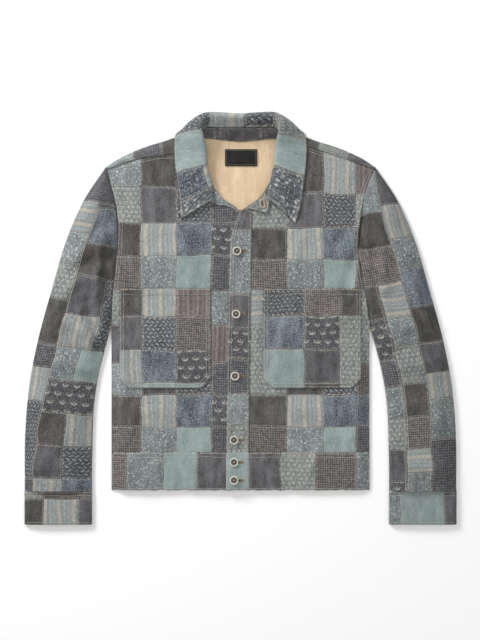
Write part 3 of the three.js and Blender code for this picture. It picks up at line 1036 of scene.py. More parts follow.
def link(name: str, mesh: bpy.types.Mesh) -> bpy.types.Object:
    """Puts a mesh in the scene as an object of the same name.

    Args:
        name: The object's name.
        mesh: Its mesh.

    Returns:
        The object.
    """
    obj = bpy.data.objects.new(name, mesh)
    bpy.context.scene.collection.objects.link(obj)
    return obj


@dataclass(frozen=True)
class Cut:
    """What a finished piece of cloth stands for, and how it is finished.

    Args:
        nodes: The CAD nodes that it stands for.
        flat: Its cut's width and length, in metres. Not used.
        rests_on: What it lies on. Not used.
        area: Its cut's area, in square metres, where it isn't a rectangle. Not used.
        slot: Its material slot in the CAD record. Not used.
    """

    nodes: Sequence[str]
    flat: tuple[float, float]
    rests_on: Sequence[str]
    area: float | None = None
    slot: str = "patchwork"

    def finish(self, obj: bpy.types.Object, thickness: float, offset: float, lined: bool) -> None:
        """Args:
            obj: The piece's outer face.
            thickness: How thick it gets.
            offset: Solidify's offset: -1 inwards, and 0 both ways.
            lined: True if its other face shows its last material.
        """
        select_only(obj)
        wall = obj.modifiers.new("cloth_thickness", "SOLIDIFY")
        wall.thickness = thickness * MM
        wall.offset = offset
        wall.use_even_offset = False
        wall.material_offset = LAST_SLOT if lined else 0
        bpy.ops.object.modifier_apply(modifier=wall.name)
        bpy.ops.object.shade_smooth_by_angle(angle=SMOOTH_ANGLE)
        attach(obj, "root")
        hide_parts(*self.nodes)
        LOG.info("%s: %d faces", obj.name, len(obj.data.polygons))


@dataclass
class Sheet:
    """A piece of cloth on a grid along its grain.

    Args:
        name: The piece's name.
        chart: Its patches.
        place: Gives points of its outer face for cloth coordinates.
        step: The widest grid spacing.
        upright: True if its patches stand up along Z, and False if along its normal.
        inner: The cloth that its other face shows, or None for the same patches.
        facing: 1 if rising u and rising v turn to its outer face, and -1 if not.
        thickness: The cloth's thickness.
        offset: -1 if place gives the outer face, and 0 if it gives the cloth's middle.
        puff: How far patches stand up between their seams.
        turned: True if its own edges are turned under, rubbed, and painted with the seams' shade
            too.
        shade: How much darker, below 0, or lighter all its patches are.
    """

    name: str
    chart: Chart
    place: Place
    step: float = 4.5
    upright: bool = True
    inner: Cloth | None = Cloth.CREAM
    facing: int = 1
    thickness: float = WALL
    offset: float = -1.0
    puff: float = PUFF
    turned: bool = False
    shade: float = 0.0

    def lines(self) -> tuple[Array, Array]:
        """The grid's u lines and v lines.

        Returns:
            The u lines and the v lines.
        """
        columns, rows = self.chart.columns, self.chart.rows
        us = grid_lines(columns[1:-1], columns[0], columns[-1], self.step)
        vs = grid_lines(rows[1:-1], rows[-1], rows[0], self.step)
        return us, vs

    def owners(self, us: Array, vs: Array) -> tuple[list[Patch], Array]:
        """The patch of each cell of the grid.

        Args:
            us: The u lines.
            vs: The v lines.

        Returns:
            The patches, and each cell's number by row and column.
        """
        patches, owner = self.chart.patches()
        middle_u, middle_v = (us[1:] + us[:-1]) / 2, (vs[1:] + vs[:-1]) / 2
        c = np.clip(
            np.searchsorted(self.chart.columns, middle_u) - 1, 0, len(self.chart.columns) - 2)
        falling = np.array(self.chart.rows)
        r = np.clip(np.searchsorted(-falling, -middle_v) - 1, 0, len(falling) - 2)
        return patches, np.array([[owner[(i, j)] for j in c] for i in r])

    def edge_at(self, patch: Patch, u: float, v: float) -> float:
        """How far a place lies inside its patch's borders, and turned edges.

        Args:
            patch: The patch.
            u: Places' u.
            v: Places' v.

        Returns:
            The distance.
        """
        low, high = self.chart.columns[0], self.chart.columns[-1]
        bottom, top = self.chart.rows[-1], self.chart.rows[0]
        sides = [
            (u - patch.u0, self.turned or patch.u0 > low),
            (patch.u1 - u, self.turned or patch.u1 < high),
            (v - patch.v0, self.turned or patch.v0 > bottom),
            (patch.v1 - v, self.turned or patch.v1 < top)]
        return max(0.0, min([gap for gap, inside in sides if inside], default=FAR_IN))

    def room(self, u: Array, v: Array) -> Array:
        """How far places lie in from the chart's edges, and from an outline cut inside them.

        Args:
            u: Places' u.
            v: Places' v.

        Returns:
            The distances.
        """
        columns, rows = self.chart.columns, self.chart.rows
        room = np.minimum(
            np.minimum(u - columns[0], columns[-1] - u), np.minimum(v - rows[-1], rows[0] - v))
        if self.upright:
            for side in (-DRIFT_MARGIN, DRIFT_MARGIN):
                room = np.minimum(room, (self.place(u + side, v)[..., 0] - u) * np.sign(side))
                room = np.minimum(room, (self.place(u, v + side)[..., 1] - v) * np.sign(side))
        return room

    def drifted(self, u: Array, v: Array) -> tuple[Array, Array]:
        """Cloth coordinates moved a little, because no hand-sewn seam runs dead straight.

        Args:
            u: Places' u.
            v: Places' v.

        Returns:
            The u and the v at which each place is laid.
        """
        share = DRIFT * blend(0, DRIFT_MARGIN, self.room(u, v))
        return u + share * soft_noise(u, v, 40.0, 21.0), v + share * soft_noise(u, v, 40.0, 27.0)

    def raised(self, points: Array, edges: Array, u: Array, v: Array) -> Array:
        """Puffs each patch up between its seams and puckers it beside them.

        Args:
            points: The grid's points.
            edges: How far each lies from a patch border.
            u: Their u.
            v: Their v.

        Returns:
            The points, moved.
        """
        drawn = soft_noise(u, v, 7.5, 11.0) * np.exp(-edges / 6) * PUCKER * (self.puff > 0)
        lift = (drawn - self.puff * np.exp(-edges / 1.5))[..., None]
        if self.upright:
            return points + lift * np.array([0.0, 0.0, 1.0 * self.facing])
        along = np.gradient(points, axis=0)
        across = np.gradient(points, axis=1)
        normal = np.cross(across, along) * self.facing
        normal /= np.maximum(np.linalg.norm(normal, axis=-1, keepdims=True), 1e-9)
        return points + lift * normal

    def mesh(self, wardrobe: Wardrobe) -> bpy.types.Mesh:
        """Builds the outer face as a mesh, with its coordinates, edges and tones.

        Args:
            wardrobe: The cloth materials.

        Returns:
            The mesh.
        """
        us, vs = self.lines()
        patches, owners = self.owners(us, vs)
        grid_u, grid_v = self.drifted(*np.meshgrid(us, vs))
        points = self.place(grid_u, grid_v)
        corner_edges = np.full((len(vs), len(us)), FAR_IN)
        for i in range(len(vs) - 1):
            for j in range(len(us) - 1):
                patch = patches[owners[i, j]]
                for di, dj in ((0, 0), (0, 1), (1, 1), (1, 0)):
                    gap = self.edge_at(patch, us[j + dj], vs[i + di])
                    corner_edges[i + di, j + dj] = min(corner_edges[i + di, j + dj], gap)
        if self.upright:
            moved = np.hypot(points[..., 0] - grid_u, points[..., 1] - grid_v) > 0.02
            corner_edges = np.where(moved, 0.0 if self.turned else FAR_IN, corner_edges)
            points = self.raised(points, corner_edges, points[..., 0], points[..., 1]) * MM
        else:
            points = self.raised(points, corner_edges, grid_u, grid_v) * MM
        keys: dict[tuple[int, int, int], int] = {}
        number = np.zeros(points.shape[:2], int)
        vertices: list[Array] = []
        fine = 2e5  # points within 0.005 mm are one
        for i, j in np.ndindex(points.shape[:2]):
            key = tuple(int(round(c * fine)) for c in points[i, j])
            if key not in keys:
                keys[key] = len(vertices)
                vertices.append(points[i, j])
            number[i, j] = keys[key]
        cloths = sorted({patches[k].cloth for k in np.unique(owners)}, key=lambda c: c.value)
        faces, slots, tones, uvs, edges = [], [], [], [], []
        turn = ((0, 0), (0, 1), (1, 1), (1, 0)) if self.facing > 0 else (
            (0, 0), (1, 0), (1, 1), (0, 1))
        for i, j in np.ndindex(owners.shape):
            patch = patches[owners[i, j]]
            corners: list[tuple[int, int, int]] = []
            for di, dj in turn:
                k = int(number[i + di, j + dj])
                if all(k != kept[0] for kept in corners):
                    corners.append((k, i + di, j + dj))
            if len(corners) < 3:
                continue
            faces.append([k for k, _, _ in corners])
            slots.append(cloths.index(patch.cloth))
            tones.append(patch.tone + self.shade)
            uvs += [(us[c] * MM, vs[r] * MM) for _, r, c in corners]
            edges += [self.edge_at(patch, us[c], vs[r]) for _, r, c in corners]
        mesh = bpy.data.meshes.new(self.name)
        mesh.from_pydata(vertices, [], faces)
        for cloth in cloths:
            mesh.materials.append(wardrobe.get(cloth))
        mesh.polygons.foreach_set("material_index", slots)
        mesh.uv_layers.new(name="Cloth").data.foreach_set("uv", np.ravel(uvs))
        mesh.attributes.new("edge", "FLOAT", "CORNER").data.foreach_set("value", edges)
        mesh.attributes.new("tone", "FLOAT", "FACE").data.foreach_set("value", tones)
        mesh.validate()
        return mesh

    def build(self, wardrobe: Wardrobe, cut: Cut) -> None:
        """Makes the piece and keeps it in the wardrobe.

        Args:
            wardrobe: The cloth materials.
            cut: What it stands for, and how it is finished.
        """
        obj = link(self.name, self.mesh(wardrobe))
        if self.inner is not None:
            obj.data.materials.append(wardrobe.get(self.inner))
        cut.finish(obj, self.thickness, self.offset, self.inner is not None)
        wardrobe.sheets[self.name] = self
        wardrobe.pieces.append(obj)

    def surface(self, u: Array, v: Array) -> tuple[Array, Array, Array]:
        """Points of the outer face with their normals.

        Args:
            u: Places' u.
            v: Places' v.

        Returns:
            The points, the normals, and whether each place is on the cloth.
        """
        step, least = 0.5, 0.12  # where the cloth is folded to less than this, it isn't sewn
        u, v = self.drifted(u, v)
        here = self.place(u, v)
        du = self.place(u + step, v) - self.place(u - step, v)
        dv = self.place(u, v + step) - self.place(u, v - step)
        normal = np.cross(du, dv) * self.facing
        size = np.linalg.norm(normal, axis=-1, keepdims=True)
        normal = normal / np.maximum(size, 1e-9)
        here = here + normal * (1 + self.offset) / 2 * self.thickness
        return here, normal, size[..., 0] > least


# ------------------------------------------------------------------ body


FRONT_CHARTS: dict[Side, Chart] = {
    Side.RIGHT: Chart((-240, -173, -112, -51, 4),
                      (330, 230, 167, 110, 50, -10, -77, -132, -188, -250),
                      ("DCCC", "FPNK", "CSIR", "BDTK", "FCPD", "PSBM", "DCNK", "CSIR", "BDTK")),
    Side.LEFT: Chart((6, 81, 145, 201, 240),
                     (330, 218, 158, 103, 50, -10, -77, -132, -188, -250),
                     ("CCSM", "FPNF", "CSIK", "BDTP", "HCPF", "FSBF", "FCNB", "CSII", "BDTK")),
}


@dataclass
class Front:
    """One front, from the forward seam to just under the waistband."""

    side: Side
    wardrobe: Wardrobe

    def bounds_at(self, y: Array) -> tuple[Array, Array]:
        """The piece's outer and inner x at heights on the garment.

        Args:
            y: Heights on the garment.

        Returns:
            The outer x and the inner x.
        """
        armhole = smooth_line(ARMHOLES[self.side][:-1] + (FORWARD_SEAMS[self.side][0],))
        seam = smooth_line(FORWARD_SEAMS[self.side]) + (0, TUCK)
        outer = np.vstack([[[HALF_BODY, WAIST_Y - 20]], armhole, seam[1:]])
        neck = smooth_line(NECKLINES[self.side])[::-1]
        neck[-1] = seam[-1]
        low = [[neck[0][0], WAIST_Y - 20]]
        inner = np.vstack([low, neck])
        return (np.interp(y, outer[:, 1], outer[:, 0]), np.interp(y, inner[:, 1], inner[:, 0]))

    def place(self, u: Array, v: Array) -> Array:
        """The outer face's points, each row kept inside the outline.

        Args:
            u: Places' u.
            v: Places' v.

        Returns:
            The points.
        """
        top = FORWARD_SEAMS[self.side][-1][1] + TUCK - 0.1
        y = np.clip(v, WAIST_Y - TUCK, top)
        outer, inner = self.bounds_at(y)
        sign = self.side.value
        x = np.clip(
            u, *(np.minimum(sign * outer, sign * inner), np.maximum(sign * outer, sign * inner)))
        z = front_top(x, y) - 1.1 * blend(TUCK, -TUCK, y - WAIST_Y)
        seam = smooth_line(mirrored(FORWARD_SEAMS[self.side], self.side))
        seam_y = np.interp(np.abs(x), np.abs(seam[::-1, 0]), seam[::-1, 1])
        z = z - 1.2 * blend(-TUCK, 0.5, y - seam_y)
        return np.stack([x, y, z], axis=-1)

    def build(self) -> None:
        """Makes the front."""
        word = self.side.word
        Sheet(f"front_{word}_cloth", FRONT_CHARTS[self.side], self.place).build(
            self.wardrobe, Cut([f"front_{word}"], (0.235, 0.53), ["back_cloth"], 0.11))


@dataclass
class Back:
    """The back, which lies on the floor and wraps over both shoulders."""

    wardrobe: Wardrobe
    top_y: float = 315.2
    reach: float = 30.0
    step: float = 6.0

    def bounds_at(self, side: Side, y: Array) -> tuple[Array, Array]:
        """One half's side x, and half the neck's width, at heights.

        Args:
            side: Which half.
            y: Heights on the garment.

        Returns:
            The side x, growing outwards, and the neck's half width.
        """
        shoulder = smooth_line(SHOULDER) - (1.0, 2.6)
        whole = np.vstack([
            [[HALF_BODY, WAIST_Y - 20]], smooth_line(ARMHOLES[side])[:-1], shoulder])
        whole = whole[np.argsort(whole[:, 1])]
        neck = smooth_line(BACK_NECK)[::-1]
        neck = neck[np.argsort(neck[:, 1])]
        return (
            np.interp(y, whole[:, 1], whole[:, 0]), np.interp(y, neck[:, 1], neck[:, 0], left=0.0))

    def place_half(self, side: Side) -> Place:
        """Points of one half, so that the neck's curve stays open between them.

        Args:
            side: Which side.

        Returns:
            The half's place function.
        """

        def place(u: Array, v: Array) -> Array:
            """The outer face, flat on the floor, a little lifted near the neck.

            Args:
                u: Places' u.
                v: Places' v.

            Returns:
                The points.
            """
            y = np.clip(v, WAIST_Y - 1, self.top_y)
            outer, neck = self.bounds_at(side, y)
            x = side.value * np.clip(np.abs(u), np.minimum(neck, outer), outer)
            inner_lift = 0.35 * soft_noise(x, y, 40.0, 8.0) * blend(60, 110, y)
            z = np.where(y > 60, np.maximum(inner_lift, 0), 0.0)
            return np.stack([x, y, z], axis=-1)

        return place

    def build(self) -> None:
        """Makes the back and its two shoulder wraps."""
        charts = {Side.RIGHT: regular_chart(-240, 0, WAIST_Y - 2, 330, 2),
                  Side.LEFT: regular_chart(0, 240, WAIST_Y - 2, 330, 7)}
        self.panel([Sheet(f"back_{side.word}_half", chart, self.place_half(side), facing=-1,
                          step=self.step, puff=0.0) for side, chart in charts.items()])
        for side in Side:
            self.wrap(side)

    def panel(self, halves: Sequence[Sheet]) -> None:
        """Joins the halves into one panel before it gets its thickness.

        Args:
            halves: The wearer's right half and left half.
        """
        first, second = (link(half.name, half.mesh(self.wardrobe)) for half in halves)
        select_only(first)
        second.select_set(True)
        bpy.ops.object.join()
        bpy.ops.object.mode_set(mode="EDIT")
        bpy.ops.mesh.select_all(action="SELECT")
        bpy.ops.mesh.remove_doubles(threshold=0.05 * MM)
        bpy.ops.object.mode_set(mode="OBJECT")
        first.name = "back_cloth"
        first.data.name = "back_cloth"
        first.data.materials.append(self.wardrobe.get(Cloth.CREAM))
        Cut(["back"], (0.47, 0.56), ["floor"], 0.235).finish(first, WALL, -1.0, True)

    def wrap(self, side: Side) -> None:
        """Makes the part of the back that rolls over one shoulder to the forward seam.

        Args:
            side: Which shoulder.
        """
        shoulder = smooth_line(mirrored(SHOULDER, side))
        seam = smooth_line(mirrored(FORWARD_SEAMS[side], side))
        length = lengths_along(shoulder)[-1]
        radius = (TOP - WALL) / 2
        bend = math.pi * radius

        def place(u: Array, v: Array) -> Array:
            """The cloth round the shoulder fold, and on to the seam.

            Args:
                u: Places' u.
                v: Places' v.

            Returns:
                The points.
            """
            share = u / length
            crest = at_share(shoulder, share)
            ahead = at_share(shoulder, share + 0.01) - at_share(shoulder, share - 0.01)
            normal = np.stack([-ahead[..., 1], ahead[..., 0]], axis=-1) * side.value
            normal /= np.linalg.norm(normal, axis=-1, keepdims=True)
            end = at_share(seam, share)
            turn = np.clip(v / bend, 0, 1) * math.pi - math.pi / 2
            inset = TOP / 2 - radius * np.cos(turn)
            fold = crest + normal * inset[..., None]
            across = np.clip((v - bend) / self.reach, 0, 1)
            plan = fold + (end - fold) * across[..., None]
            z = TOP / 2 + radius * np.sin(turn)
            over = front_top(plan[..., 0], plan[..., 1]) + WALL / 2 + 0.15
            z = z + (over - z) * blend(0.0, 0.45, across)
            return np.concatenate([plan, z[..., None]], axis=-1)

        cells = ("DKC",) if side is Side.RIGHT else ("PFC",)
        columns = (0, length * 0.33, length * 0.66, length)
        chart = Chart(columns, (bend + self.reach, 0), cells)
        Sheet(f"shoulder_{side.word}_cloth", chart, place, upright=False, offset=0.0,
              facing=side.value, step=2.4).build(
            self.wardrobe, Cut(["back"], (0.16, 0.04), ["back_cloth"], 0.0031))


POCKET_CHARTS: dict[Side, Chart] = {
    Side.RIGHT: Chart((-210.5, -171, -112, -52.2), (53, 5, -54, -111, -120),
                      ("CSM", "PNB", "SIR", "TTT")),
    Side.LEFT: Chart((39.2, 110.5, 173, 209.7), (53, 5, -52, -111, -120),
                     ("NBC", "IRF", "TPF", "TCF")),
}


@dataclass
class Pocket:
    """A patch pocket with clipped lower corners, laid on a front."""

    side: Side
    wardrobe: Wardrobe

    def place(self, u: Array, v: Array) -> Array:
        """The outer face's points, moved out from the front's.

        Args:
            u: Places' u.
            v: Places' v.

        Returns:
            The points.
        """
        low, high = POCKET_SPANS[self.side]
        clipped = np.maximum(0, np.maximum(POCKET_CORNER - (u - low), POCKET_CORNER - (high - u)))
        y = np.maximum(v, POCKET_BOTTOM_Y + clipped)
        rise = 0.4 + 1.0 * blend(0, 40, np.minimum(u - low, high - u)) * blend(-120, -40, y)
        gape = 0.9 * blend(20, 53, y) * blend(0, 50, np.minimum(u - low, high - u))
        hem = 0.7 * blend(41.5, 43.5, y)
        return np.stack([u, y, front_top(u, y) + LAYER + 0.35 + rise + gape + hem], axis=-1)

    def build(self) -> None:
        """Makes the pocket."""
        word = self.side.word
        low, high = POCKET_SPANS[self.side]
        Sheet(f"pocket_{word}_cloth", POCKET_CHARTS[self.side], self.place, step=3.0,
              turned=True).build(self.wardrobe, Cut([f"pocket_{word}"], ((high - low) * MM, 0.173),
                                               [f"front_{word}_cloth"]))


@dataclass
class Placket:
    """The buttonhole band along the wearer's left front, from its free edge to its seam."""

    wardrobe: Wardrobe
    low: float = -25.0
    high: float = 17.0

    def place(self, u: Array, v: Array) -> Array:
        """The outer face's points between the band's free edge and its seam.

        Args:
            u: Places' u.
            v: Places' v.

        Returns:
            The points.
        """
        edge = smooth_line(PLACKET_EDGE)
        seam = smooth_line(PLACKET_SEAM)
        y = np.maximum(v, WAIST_Y - 2)
        low = np.interp(y, edge[:, 1], edge[:, 0])
        high = np.interp(y, seam[:, 1], seam[:, 0])
        share = (u - self.low) / (self.high - self.low)
        x = low + (high - low) * share
        roll = 0.9 * np.exp(-((u - self.low) / 2.2))
        drop = 0.5 * blend(14.5, 17, u)
        z = front_top(x, y) + LAYER + 0.5 - roll - drop + 0.5 * np.sin(y / 31.0) * (1 - share)
        return np.stack([x, y, z], axis=-1)

    def build(self) -> None:
        """Makes the band."""
        chart = Chart(
            (self.low, self.high), (190, 155, 43, -16, -70, -129, -184, WAIST_Y - 2), "PDPRKDF")
        Sheet("placket_cloth", chart, self.place, step=3.0, turned=True).build(
            self.wardrobe,
            Cut(["placket"], (0.04, 0.425), ["front_right_cloth", "front_left_cloth"]))


@dataclass
class Waistband:
    """The waistband, a back and two fronts with a worn lower edge."""

    wardrobe: Wardrobe
    right_end: float = 3.0
    left_end: float = -25.4
    wear: float = 1.6

    def front_place(self, low: float, climbs: bool) -> Place:
        """Points of a front band.

        Args:
            low: Where its inner end lies.
            climbs: True if it climbs over the other band at the middle.

        Returns:
            The band's place function.
        """

        def place(u: Array, v: Array) -> Array:
            """The outer face, rolled at its ends.

            Args:
                u: Places' u.
                v: Places' v.

            Returns:
                The points.
            """
            y = np.clip(v, HEM_Y, WAIST_Y + 1)
            z = front_top(u, y) + 0.35
            if climbs:
                z = z + (LAYER + 0.3) * blend(26, 8, u)
            roll = 0.8 * np.exp(-(y - HEM_Y) / 2.0) + 0.5 * np.exp(-np.abs(u - low) / 2.0)
            band = 0.5 * np.sin(math.pi * (y - HEM_Y) / (WAIST_Y - HEM_Y))
            worn = self.wear * soft_noise(u, 0 * u, 13.0, 5.0) * np.exp(-(y - HEM_Y) / 5.0)
            return np.stack([u, y + worn, z - roll + band], axis=-1)

        return place

    def back_place(self, u: Array, v: Array) -> Array:
        """Points of the back band's outer face, on the floor."""
        y = np.clip(v, HEM_Y, WAIST_Y - 0.3)
        return np.stack([u, y, np.zeros_like(u)], axis=-1)

    def build(self) -> None:
        """Makes the three bands."""
        rows = (WAIST_Y + 1, HEM_Y)
        right = Chart((-HALF_BODY, -199, -135, -76, self.right_end), rows, ("BDTP",))
        left = Chart((self.left_end, 15, 70, 131, 201, HALF_BODY), rows, ("TPFBD",))
        back = regular_chart(-HALF_BODY, HALF_BODY, HEM_Y, WAIST_Y - 0.3, 4)
        for word, chart, place, wide in (
                ("right", right, self.front_place(self.right_end, False), 0.228),
                ("left", left, self.front_place(self.left_end, True), 0.25)):
            Sheet(f"waistband_{word}_cloth", chart, place, step=3.5, turned=True).build(
                self.wardrobe, Cut([f"waistband_{word}"], (wide, 0.065), ["waistband_back_cloth"]))
        Sheet("waistband_back_cloth", back, self.back_place, step=6.0, facing=-1).build(
            self.wardrobe, Cut(["waistband_back"], (0.449, 0.065), ["floor"]))


# ------------------------------------------------------------------ sleeves


SLEEVE_WIDTH = 117.0
SLEEVE_CHARTS: dict[Side, Chart] = {
    Side.RIGHT: Chart(
        (0, 35, 76, 96, 117),
        (266, 202, 193, 146, 132, 89, 75, 30, 7, -49, -89, -106, -146, -162, -219, -266, -277,
         -301),
        ("K...", "HK..", "HI..", "DI..", "DC..", "FC..", "FP.N", "CP.N", "CS.N", "KDT.",
         "SDT.", "SR..", "NR..", "NCS.", "NPN.", "NPN.", "KSI.")),
    Side.LEFT: Chart(
        (0, 44, 86, 117),
        (266, 197, 186, 137, 127, 82, 63, 17, 3, -45, -66, -97, -110, -115, -141, -169, -210,
         -224, -266, -282, -301),
        ("PD.", "SD.", "SC.", "DC.", "DB.", "IB.", "IHC", "CHC", "CDR", "PFR", "PFK", "SFK",
         "SCK", "SCD", "DCD", "DBF", "KBF", "KHP", "KDP", "KDR")),
}
SLEEVE_TAPER = {Side.RIGHT: 0.6, Side.LEFT: 0.0}  # how much the outer column narrows
ELBOWS: dict[Side, Sequence[Fold]] = {
    Side.RIGHT: folds((266, 30, 242, -50, 7, -4.6), (281, 10, 257, -64, 8, 4.2),
                      (246, -22, 240, -66, 5, 2.8), (240, 150, 250, 44, 8, 3.8),
                      (228, 140, 236, 30, 7, -4.4)),
    Side.LEFT: folds((252, 40, 300, -8, 7, -3.8), (262, 62, 316, 22, 8, 3.8),
                     (230, 120, 238, 30, 7, -4.4), (243, 160, 253, 50, 8, 3.4)),
}
SLEEVE_FOLDS: dict[Side, Sequence[Fold]] = {
    side: (
        *ELBOWS[side],
        *folds(
            (214, 150, 288, 108, 11, 3.4), (216, 116, 296, 82, 8, -2.6),
            (222, 92, 312, 46, 11, 2.8), (238, -40, 340, 10, 12, 3.6),
            (244, -66, 345, -34, 8, -2.8), (250, -92, 360, -68, 11, 3.0),
            (256, -160, 350, -140, 12, 2.0), (262, -250, 370, -262, 11, 2.2),
            (300, -200, 345, -255, 12, 2.0), (246, 240, 268, 180, 12, 2.4),
            (300, 60, 330, -20, 12, 1.6), (268, 10, 300, -30, 10, -1.6)),
        Pucker((258, CUFF_SEAM_Y), (376, CUFF_SEAM_Y), 10, 0.8, 9.5),
    )
    for side in Side
}


def fold_bend(near: Array, radius: float) -> Array:
    """The rise of a round fold: 0 at its edge, and 1 from its radius inwards."""
    return np.sqrt(np.clip(1 - ((radius - np.minimum(near, radius)) / radius) ** 2, 0, 1))


@dataclass
class Sleeve:
    """One sleeve, a flattened tube that goes in under the body's armhole edge.

    Args:
        side: Which sleeve.
        wardrobe: The cloth materials.
        lag: How much further down the inner fold the crossings end, halfway down.
        widest: The most that the first column may take of a crossing.
        crown: How far the upper layer stands up in the middle.
        shade: How much darker than the body the sleeve looks.
    """

    side: Side
    wardrobe: Wardrobe
    lag: float = 0.018
    widest: float = 0.46
    crown: float = 6.5
    shade: float = -1.5

    def edges(self) -> tuple[Array, Array]:
        """The tube's outer and inner fold, from the shoulder down.

        Returns:
            The outer fold and the inner fold.
        """
        outer = smooth_line(SLEEVE_OUTER)
        armhole = smooth_line(tuple(reversed(ARMHOLES[self.side]))) - (TUCK + 1, 0)
        armhole[0] = (234.0, 264.0)
        inner = smooth_line(SLEEVE_INNER)
        return outer, np.vstack([armhole[:-3], inner])

    def plan(self, share: Array, y: Array) -> tuple[Array, ...]:
        """Points across the sleeve in plan.

        The first column keeps its width up to the shoulder, where the others narrow.

        Args:
            share: 0 at the outer fold, 1 at the inner one.
            y: Which crossing, by its height on the garment.

        Returns:
            The points' x and y, how far in they lie, and the crossing's width.
        """
        outer, inner = self.edges()
        steps = np.linspace(0, 1, 241)
        o = at_share(outer, steps)
        i = at_share(inner, np.clip(steps + self.lag * np.sin(math.pi * steps), 0, 1))
        mean = (o[:, 1] + i[:, 1]) / 2
        level = np.clip(y, mean[-1], mean[0])
        found = np.interp(-level, -mean, steps)
        po = np.stack([np.interp(found, steps, o[:, k]) for k in (0, 1)], axis=-1)
        pi = np.stack([np.interp(found, steps, i[:, k]) for k in (0, 1)], axis=-1)
        width = np.linalg.norm(po - pi, axis=-1)
        seam = SLEEVE_CHARTS[self.side].columns[1]
        narrowed = 1 - SLEEVE_TAPER[self.side] * blend(-60, -290, y)
        knot = np.minimum(seam, self.widest * width) * narrowed
        run = share * SLEEVE_WIDTH
        rest = (run - seam) / (SLEEVE_WIDTH - seam) * (width - knot)
        share = np.where(run < seam, run / seam * knot, knot + rest) / np.maximum(width, 1e-6)
        point = po + (pi - po) * share[..., None]
        return point[..., 0], point[..., 1], width * np.clip(share, 0, 1), width

    def height(self, a: Array, b: Array, y: Array, x: Array) -> Array:
        """The upper layer's height.

        Args:
            a: The distance in from the outer fold.
            b: The distance in from the inner fold.
            y: Places' y.
            x: Places' x, growing outwards.

        Returns:
            The heights.
        """
        seen = blend(UNDERARM_Y - 45, UNDERARM_Y + 5, y)
        r = TOP / 2
        inner_bend = fold_bend(b, r)
        inner_bend = inner_bend + (1 - inner_bend) * seen
        crown = self.crown * blend(0, 32, a) * blend(0, 36, b)
        relief = Relief(SLEEVE_FOLDS[self.side], 2.1, 62, 4.0 + self.side.value)
        lift = relief.height_at(x, y) * blend(0, 14, a) * blend(2, 16, b)
        sunk = 1.9 * seen * blend(9, 4, b)
        return r + r * np.minimum(fold_bend(a, r), inner_bend) + crown + lift - sunk

    def place(self, u: Array, v: Array) -> Array:
        """Points all round the tube: u under 117 is the upper layer, and past it the lower.

        Args:
            u: Places' u.
            v: Places' v.

        Returns:
            The points.
        """
        upper = u <= SLEEVE_WIDTH
        across = np.where(upper, u, 2 * SLEEVE_WIDTH - u) / SLEEVE_WIDTH
        x, y, a, width = self.plan(across, v)
        b = width - a
        seen = blend(UNDERARM_Y - 45, UNDERARM_Y + 5, y)
        r = TOP / 2
        low = r - r * fold_bend(np.minimum(a, b), r)
        low = low * (1 - seen * (b < a)) + 1.75 * seen * blend(11, 6, b)
        z = np.where(upper, self.height(a, b, y, x), low)
        return np.stack([self.side.value * x, y, z], axis=-1)

    def whole_chart(self) -> Chart:
        """The upper layer's chart with plain patches for the lower layer beside it.

        Returns:
            The chart.
        """
        chart = SLEEVE_CHARTS[self.side]
        order = "DNSPTBIKFCMR"
        lower = [(order[(2 * (r // 2) + 1) % 12], order[(2 * (r // 2) + 6) % 12])
                 for r in range(len(chart.cells))]
        cells = tuple(row + "".join(pair) for row, pair in zip(chart.cells, lower))
        wide = 2 * SLEEVE_WIDTH
        return Chart((*chart.columns, 1.5 * SLEEVE_WIDTH, wide), chart.rows, cells)

    def build(self) -> None:
        """Makes the sleeve."""
        word = self.side.word
        FoldedSheet(f"sleeve_{word}_cloth", self.whole_chart(), self.place, shade=self.shade,
                    facing=-self.side.value, upright=False, step=4.2).build(
            self.wardrobe, Cut([f"sleeve_{word}"], (0.24, 0.6), ["floor"], 0.132))


class FoldedSheet(Sheet):
    """A flattened tube's cloth, with close grid lines at its two folds."""

    def lines(self) -> tuple[Array, Array]:
        """The grid's lines, closer where the tube turns back under itself.

        Returns:
            The u lines and the v lines.
        """
        us, vs = super().lines()
        half = self.chart.columns[-1] / 2
        turn = (0.1, 0.45, 1.0, 1.9)
        extra = [w for t in turn for w in (t, half - t, half + t, 2 * half - t)]
        merged = np.unique(np.round(np.concatenate([us, [half], extra]), 3))
        return merged[np.concatenate([[True], np.diff(merged) > 0.05])], vs

    def room(self, u: Array, v: Array) -> Array:
        """How far places lie in from the sheet's own edges and from its middle fold."""
        return np.minimum(super().room(u, v), np.abs(u - self.chart.columns[-1] / 2))


